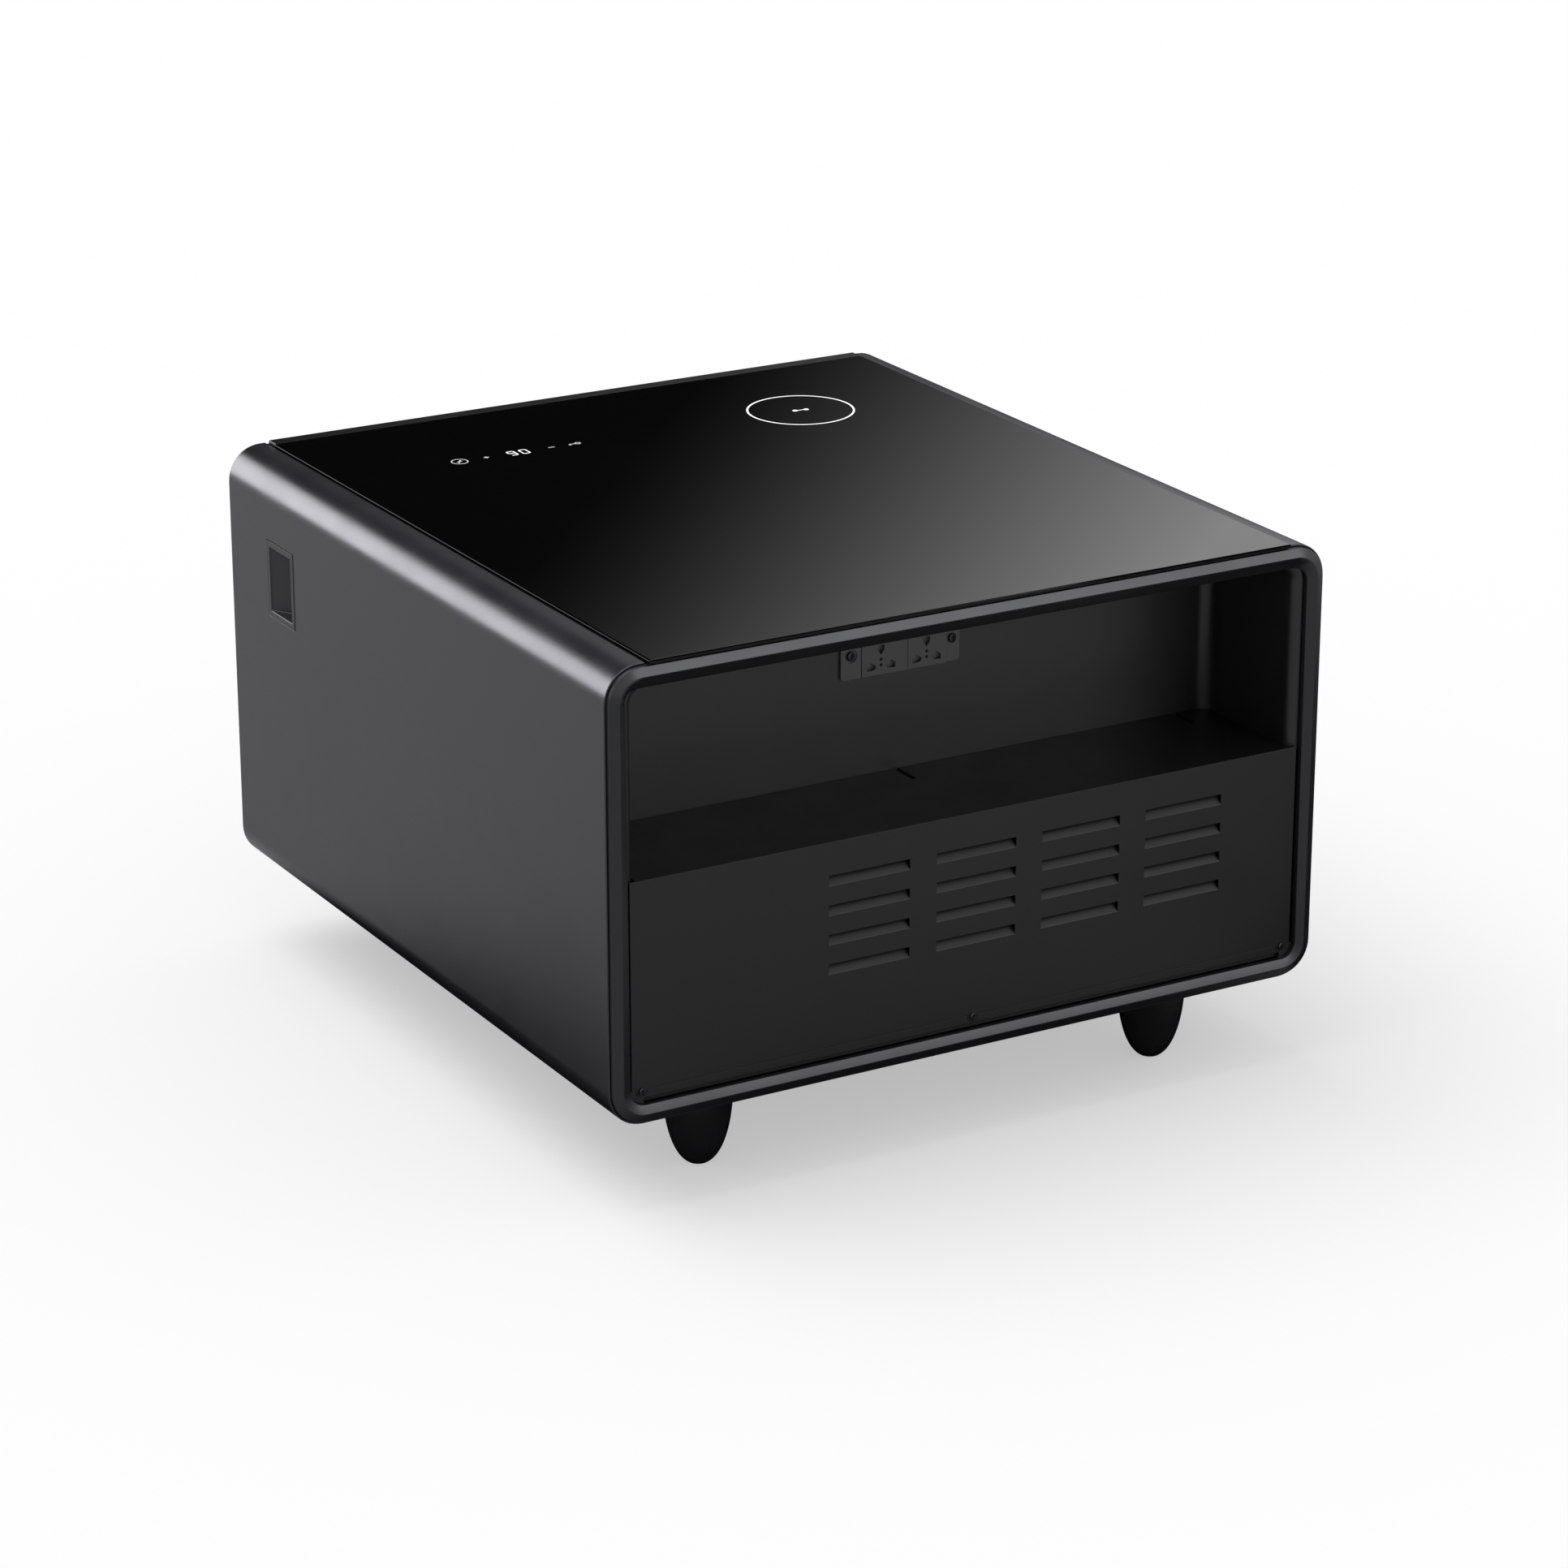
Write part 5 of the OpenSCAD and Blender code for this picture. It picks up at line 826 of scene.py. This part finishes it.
class NIGHTSTAND_OT_feet(bpy.types.Operator):
    """Build the four bullet feet"""
    bl_idname = "nightstand.feet"
    bl_label = "Feet"

    def execute(self, context):
        feet = context.scene.nightstand_feet
        low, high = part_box("foot_rear_left")
        middle = (low + high) / 2
        grow("bullet_feet", feet_tree(), {
            "Height": high.z, "Radius": feet.radius, "Fullness": feet.fullness, "Cut": feet.cut,
            "Steps": feet.steps, "Span X": 2 * middle.x, "Span Y": 2 * middle.y,
        }, ("foot_rear_left", "foot_rear_right", "foot_front_left", "foot_front_right"),
            "foot_plastic")
        return {"FINISHED"}


class NIGHTSTAND_OT_drawer(bpy.types.Operator):
    """Build the drawer's front, its rail, seal and bin, and the runners"""
    bl_idname = "nightstand.drawer"
    bl_label = "Drawer"

    def execute(self, context):
        edges = context.scene.nightstand_edges
        softened("drawer_front_panel", edges.moulded, DRAWER)
        softened("drawer_grip_rail", edges.fine, DRAWER)
        softened("drawer_inner_panel", edges.moulded, DRAWER)
        softened("drawer_gasket", edges.moulded, DRAWER)
        softened("drawer_bin", edges.moulded, DRAWER)
        softened("runner_inner_rails", edges.fine, DRAWER)
        softened("runner_middle_rails", edges.fine, "runner_middle")
        softened("runner_outer_rails", edges.fine)
        return {"FINISHED"}


class NIGHTSTAND_OT_cold_space(bpy.types.Operator):
    """Build what shows inside when the drawer is open, and the mains inlet and base plate"""
    bl_idname = "nightstand.cold_space"
    bl_label = "Cold space and base"

    def execute(self, context):
        edges = context.scene.nightstand_edges
        softened("cold_liner", edges.moulded)
        softened("evaporator_cover", edges.fine)
        softened("led_lamp", edges.moulded)
        softened("mains_inlet", edges.fine)
        softened("base_plate", edges.fine)
        return {"FINISHED"}


# The stage, in metres: a floor just under the feet, a round flag that is a wall round the set, and a
# card that lies inside it at the height of the object's origin, which paints shade and dark
# reflections into what mirrors show of the floor
STAGE_SIDES = 96
FLOOR_RADIUS, FLOOR_DROP = 60, 0.2 * MM
FLAG_RADIUS, FLAG_HEIGHT, FLAG_MIDDLE_Z = 6, 9, 4.7
CARD_RADIUS = 5.9

# The lamps' places round the origin, the softboxes' as a direction times a distance
SUN_PLACE, SUN_SPREAD = Vector((0.34, -0.3, 1)), math.radians(50)
STRIP_PLACE, STRIP_SIZE = Vector((0.5, -0.81, 0.29)) * 3.6, (2.4, 1.6)
BOX_PLACE, BOX_SIZE = Vector((-0.47, 0.82, 0.42)) * 4, (2.6, 2.3)

# The width of the camera's frame in millimetres, and how near and how far it sees in metres
SENSOR_WIDTH = 36
CLIP_START, CLIP_END = 0.05, 200


class NIGHTSTAND_OT_stage(bpy.types.Operator):
    """Lay the floor, hang the flags and lamps and set the camera"""
    bl_idname = "nightstand.stage"
    bl_label = "Stage"

    def execute(self, context):
        stage = context.scene.nightstand_stage
        self.floor(stage)
        self.flags()
        self.light(context.scene, stage)
        data = bpy.data.cameras.new("camera")
        data.lens, data.sensor_width = stage.lens, SENSOR_WIDTH
        data.clip_start, data.clip_end = CLIP_START, CLIP_END
        camera = linked("camera", data)
        camera.location = stage.camera
        camera.rotation_mode = "QUATERNION"
        camera.rotation_quaternion = Vector(stage.aim).to_track_quat("-Z", "Y")
        context.scene.camera = camera
        context.scene.view_settings.view_transform = "Standard"
        return {"FINISHED"}

    @staticmethod
    def rays(tree, *kinds):
        """1 for rays of any of these kinds, and 0 for all others."""
        path = add(tree, "ShaderNodeLightPath").outputs
        chosen = path[kinds[0]]
        for kind in kinds[1:]:
            chosen = add(tree, "ShaderNodeMath", {"operation": "MAXIMUM"},
                         {0: chosen, 1: path[kind]}).outputs[0]
        return chosen

    def floor(self, stage):
        """A wide pale floor that keeps the shadow and reads white away from it."""
        shape = bmesh.new()
        bmesh.ops.create_circle(shape, cap_ends=True, segments=STAGE_SIDES, radius=FLOOR_RADIUS)
        bmesh.ops.translate(shape, vec=(0, 0, -FLOOR_DROP), verts=shape.verts)
        floor = linked("floor", mesh_of("floor", shape))
        paint = blank("matt_studio_floor")
        tree = paint.node_tree
        grey = [stage.floor_grey] * 3 + [1]
        matt = add(tree, "ShaderNodeBsdfDiffuse", None, {"Color": grey})
        # The floor's own colour is white enough to mirrored rays, and shows them the shadow
        straight = self.rays(tree, "Is Camera Ray", "Is Transmission Ray")
        lift = add(tree, "ShaderNodeMath", {"operation": "MULTIPLY"},
                   {0: straight, 1: stage.floor_lift})
        glow = add(tree, "ShaderNodeEmission", None, {"Strength": lift.outputs[0]})
        both = add(tree, "ShaderNodeAddShader", None, {0: matt.outputs[0], 1: glow.outputs[0]})
        add(tree, "ShaderNodeOutputMaterial", None, {"Surface": both.outputs[0]})
        floor.data.materials.append(paint)

    def flag(self, name, shape, clear):
        """A black surface that only mirrors show, clear where the builder of its mask says so."""
        flag = linked(name, mesh_of(name, shape))
        paint = blank("mirror_only_black_" + name)
        tree = paint.node_tree
        place = add(tree, "ShaderNodeTexCoord").outputs["Object"]
        black = add(tree, "ShaderNodeBsdfDiffuse", None, {"Color": linear("050505")})
        through = add(tree, "ShaderNodeBsdfTransparent")
        mix = add(tree, "ShaderNodeMixShader", None,
                  {0: clear(tree, place), 1: black.outputs[0], 2: through.outputs[0]})
        add(tree, "ShaderNodeOutputMaterial", None, {"Surface": mix.outputs[0]})
        flag.data.materials.append(paint)
        flag.visible_camera = flag.visible_diffuse = flag.visible_transmission = False
        flag.visible_shadow = False

    @staticmethod
    def round_mask(tree, place):
        """The round flag is open to the sides and the rear, and above."""
        # Angles run from -Y towards -X. The window opens slowly, and sooner the higher up it is
        window_start, window_end = math.radians(26), math.radians(39)
        lean_from_z, lean_per_metre, slowness = 2.2, 0.15, 2.0
        side_start, side_end = math.radians(-60), math.radians(-45)
        top_start_z, top_end_z = 5.0, 9.0
        split = add(tree, "ShaderNodeSeparateXYZ", None, {0: place}).outputs
        front = add(tree, "ShaderNodeMath", {"operation": "MULTIPLY"}, {0: split["Y"], 1: -1.0})
        left = add(tree, "ShaderNodeMath", {"operation": "MULTIPLY"}, {0: split["X"], 1: -1.0})
        angle = add(tree, "ShaderNodeMath", {"operation": "ARCTAN2"},
                    {0: left.outputs[0], 1: front.outputs[0]}).outputs[0]
        higher = add(tree, "ShaderNodeMath", {"operation": "SUBTRACT"},
                     {0: split["Z"], 1: lean_from_z})
        leaning = add(tree, "ShaderNodeMath", {"operation": "MULTIPLY_ADD"},
                      {0: higher.outputs[0], 1: lean_per_metre, 2: angle}).outputs[0]
        opening = add(tree, "ShaderNodeMapRange", None,
                      {"Value": leaning, "From Min": window_start, "From Max": window_end})
        window = add(tree, "ShaderNodeMath", {"operation": "POWER"},
                     {0: opening.outputs[0], 1: slowness})
        side = add(tree, "ShaderNodeMapRange", {"interpolation_type": "SMOOTHSTEP"},
                   {"Value": angle, "From Min": side_start, "From Max": side_end,
                    "To Min": 1.0, "To Max": 0.0})
        upper = add(tree, "ShaderNodeMapRange", {"interpolation_type": "SMOOTHSTEP"},
                    {"Value": split["Z"], "From Min": top_start_z, "From Max": top_end_z})
        clear = add(tree, "ShaderNodeMath", {"operation": "MAXIMUM"},
                    {0: window.outputs[0], 1: upper.outputs[0]})
        return add(tree, "ShaderNodeMath", {"operation": "MAXIMUM"},
                   {0: clear.outputs[0], 1: side.outputs[0]}).outputs[0]

    @staticmethod
    def card_mask(tree, place):
        """The card paints shade under the object, and a dark reflection along a wing towards -X and
        far off towards -X, -Y.
        """
        skew_slope = 0.36
        split = add(tree, "ShaderNodeSeparateXYZ", None, {0: place}).outputs
        away = add(tree, "ShaderNodeVectorMath", {"operation": "LENGTH"}, {0: place}).outputs["Value"]
        skew = add(tree, "ShaderNodeMath", {"operation": "MULTIPLY_ADD"},
                   {0: split["X"], 1: skew_slope, 2: split["Y"]}).outputs[0]
        # A part is black where all its rows are; a row is a distance, where black ends and where
        # clear begins along it, in metres
        under = ((away, 0.36, 0.52),)
        wing = ((split["X"], -0.36, -0.28), (skew, 0.41, 0.49), (away, 1.2, 1.6),
                (split["Y"], -0.1, -0.25))
        beyond = ((split["X"], -0.7, -0.5), (split["Y"], -0.55, -0.35))
        clear = 1.0
        for part in (under, wing, beyond):
            outside = 0.0
            for field, black_end, clear_start in part:
                edge = add(tree, "ShaderNodeMapRange", {"interpolation_type": "SMOOTHSTEP"},
                           {"Value": field, "From Min": black_end, "From Max": clear_start})
                outside = add(tree, "ShaderNodeMath", {"operation": "MAXIMUM"},
                              {0: outside, 1: edge.outputs[0]}).outputs[0]
            clear = add(tree, "ShaderNodeMath", {"operation": "MINIMUM"},
                        {0: clear, 1: outside}).outputs[0]
        return clear

    def flags(self):
        """A black flag round the set and a black card under the object, which only mirrors show; the
        card paints shade and dark reflections into the mirrored floor.
        """
        shape = bmesh.new()
        bmesh.ops.create_cone(shape, segments=STAGE_SIDES, radius1=FLAG_RADIUS,
                              radius2=FLAG_RADIUS, depth=FLAG_HEIGHT)
        bmesh.ops.translate(shape, vec=(0, 0, FLAG_MIDDLE_Z), verts=shape.verts)
        self.flag("round_flag", shape, self.round_mask)
        # The card: painted shade and dark reflection, black where mirrors see the floor under the
        # object
        shape = bmesh.new()
        bmesh.ops.create_circle(shape, cap_ends=True, segments=STAGE_SIDES, radius=CARD_RADIUS)
        self.flag("floor_card", shape, self.card_mask)

    def light(self, scene, stage):
        """White surroundings for the eye and a plain level of soft light on the object."""
        world = bpy.data.worlds.new("studio")
        scene.world = world
        world.use_nodes = True
        tree = world.node_tree
        tree.nodes.clear()
        # Rays that show the background: straight to the eye, mirrored or through glass
        seen = self.rays(tree, "Is Camera Ray", "Is Glossy Ray", "Is Transmission Ray")
        level = add(tree, "ShaderNodeMapRange", None,
                    {"Value": seen, "To Min": stage.world_light, "To Max": 1.0})
        sky = add(tree, "ShaderNodeBackground", None,
                  {"Color": (1, 1, 1, 1), "Strength": level.outputs[0]})
        add(tree, "ShaderNodeOutputWorld", None, {"Surface": sky.outputs[0]})
        overhead = bpy.data.lights.new("overhead", "SUN")
        overhead.energy, overhead.angle = stage.sun_light, SUN_SPREAD
        self.hang(overhead, SUN_PLACE)
        self.softbox("shoulder_strip", STRIP_PLACE, STRIP_SIZE, stage.strip_power)
        self.softbox("rear_box", BOX_PLACE, BOX_SIZE, stage.box_power)

    @staticmethod
    def hang(data, place):
        """Hangs a lamp at a place, turned towards the origin."""
        lamp = linked(data.name, data)
        lamp.location = place
        lamp.rotation_mode = "QUATERNION"
        lamp.rotation_quaternion = (-place).to_track_quat("-Z", "Y")
        return lamp

    def softbox(self, name, place, size, power):
        """A softbox that draws highlights on all but the glass, which would mirror it whole."""
        box = bpy.data.lights.new(name, "AREA")
        box.shape, box.size, box.size_y, box.energy = "RECTANGLE", *size, power
        lamp = self.hang(box, place)
        lamp.visible_diffuse = lamp.visible_camera = False
        lit = bpy.data.collections.new("lit_by_" + name)
        for thing in bpy.context.scene.objects:
            if thing.type == "MESH" and not thing.name.startswith("glass_top"):
                lit.objects.link(thing)
        lamp.light_linking.receiver_collection = lit


class NIGHTSTAND_PT_panel(bpy.types.Panel):
    """Lists the nightstand's pieces, and the colours and sizes that a user may change."""
    bl_idname = "NIGHTSTAND_PT_panel"
    bl_label = "Nightstand"
    bl_space_type = "VIEW_3D"
    bl_region_type = "UI"
    bl_category = "Nightstand"

    def draw(self, context):
        for operator in OPERATORS:
            self.layout.operator(operator.bl_idname)
        for name, group in GROUPS.items():
            box = self.layout.box()
            for prop in group.__annotations__:
                box.prop(getattr(context.scene, name), prop)


GROUPS = {"nightstand_colours": NightstandColours, "nightstand_edges": NightstandEdges,
          "nightstand_print": NightstandPrint, "nightstand_feet": NightstandFeet,
          "nightstand_stage": NightstandStage}
OPERATORS = (NIGHTSTAND_OT_finishes, NIGHTSTAND_OT_wrap, NIGHTSTAND_OT_glass, NIGHTSTAND_OT_niche,
             NIGHTSTAND_OT_cover, NIGHTSTAND_OT_feet, NIGHTSTAND_OT_drawer,
             NIGHTSTAND_OT_cold_space, NIGHTSTAND_OT_stage)


def register():
    for group in (*GROUPS.values(), *OPERATORS, NIGHTSTAND_PT_panel):
        bpy.utils.register_class(group)
    for name, group in GROUPS.items():
        setattr(bpy.types.Scene, name, PointerProperty(type=group))


def unregister():
    for name in GROUPS:
        delattr(bpy.types.Scene, name)
    for group in (NIGHTSTAND_PT_panel, *reversed(OPERATORS), *GROUPS.values()):
        bpy.utils.unregister_class(group)


def main():
    """Builds every piece in order."""
    register()
    for operator in OPERATORS:
        family, name = operator.bl_idname.split(".")
        if getattr(getattr(bpy.ops, family), name)() != {"FINISHED"}:
            raise RuntimeError(f"{name} did not finish")


if __name__ == "__main__":
    main()
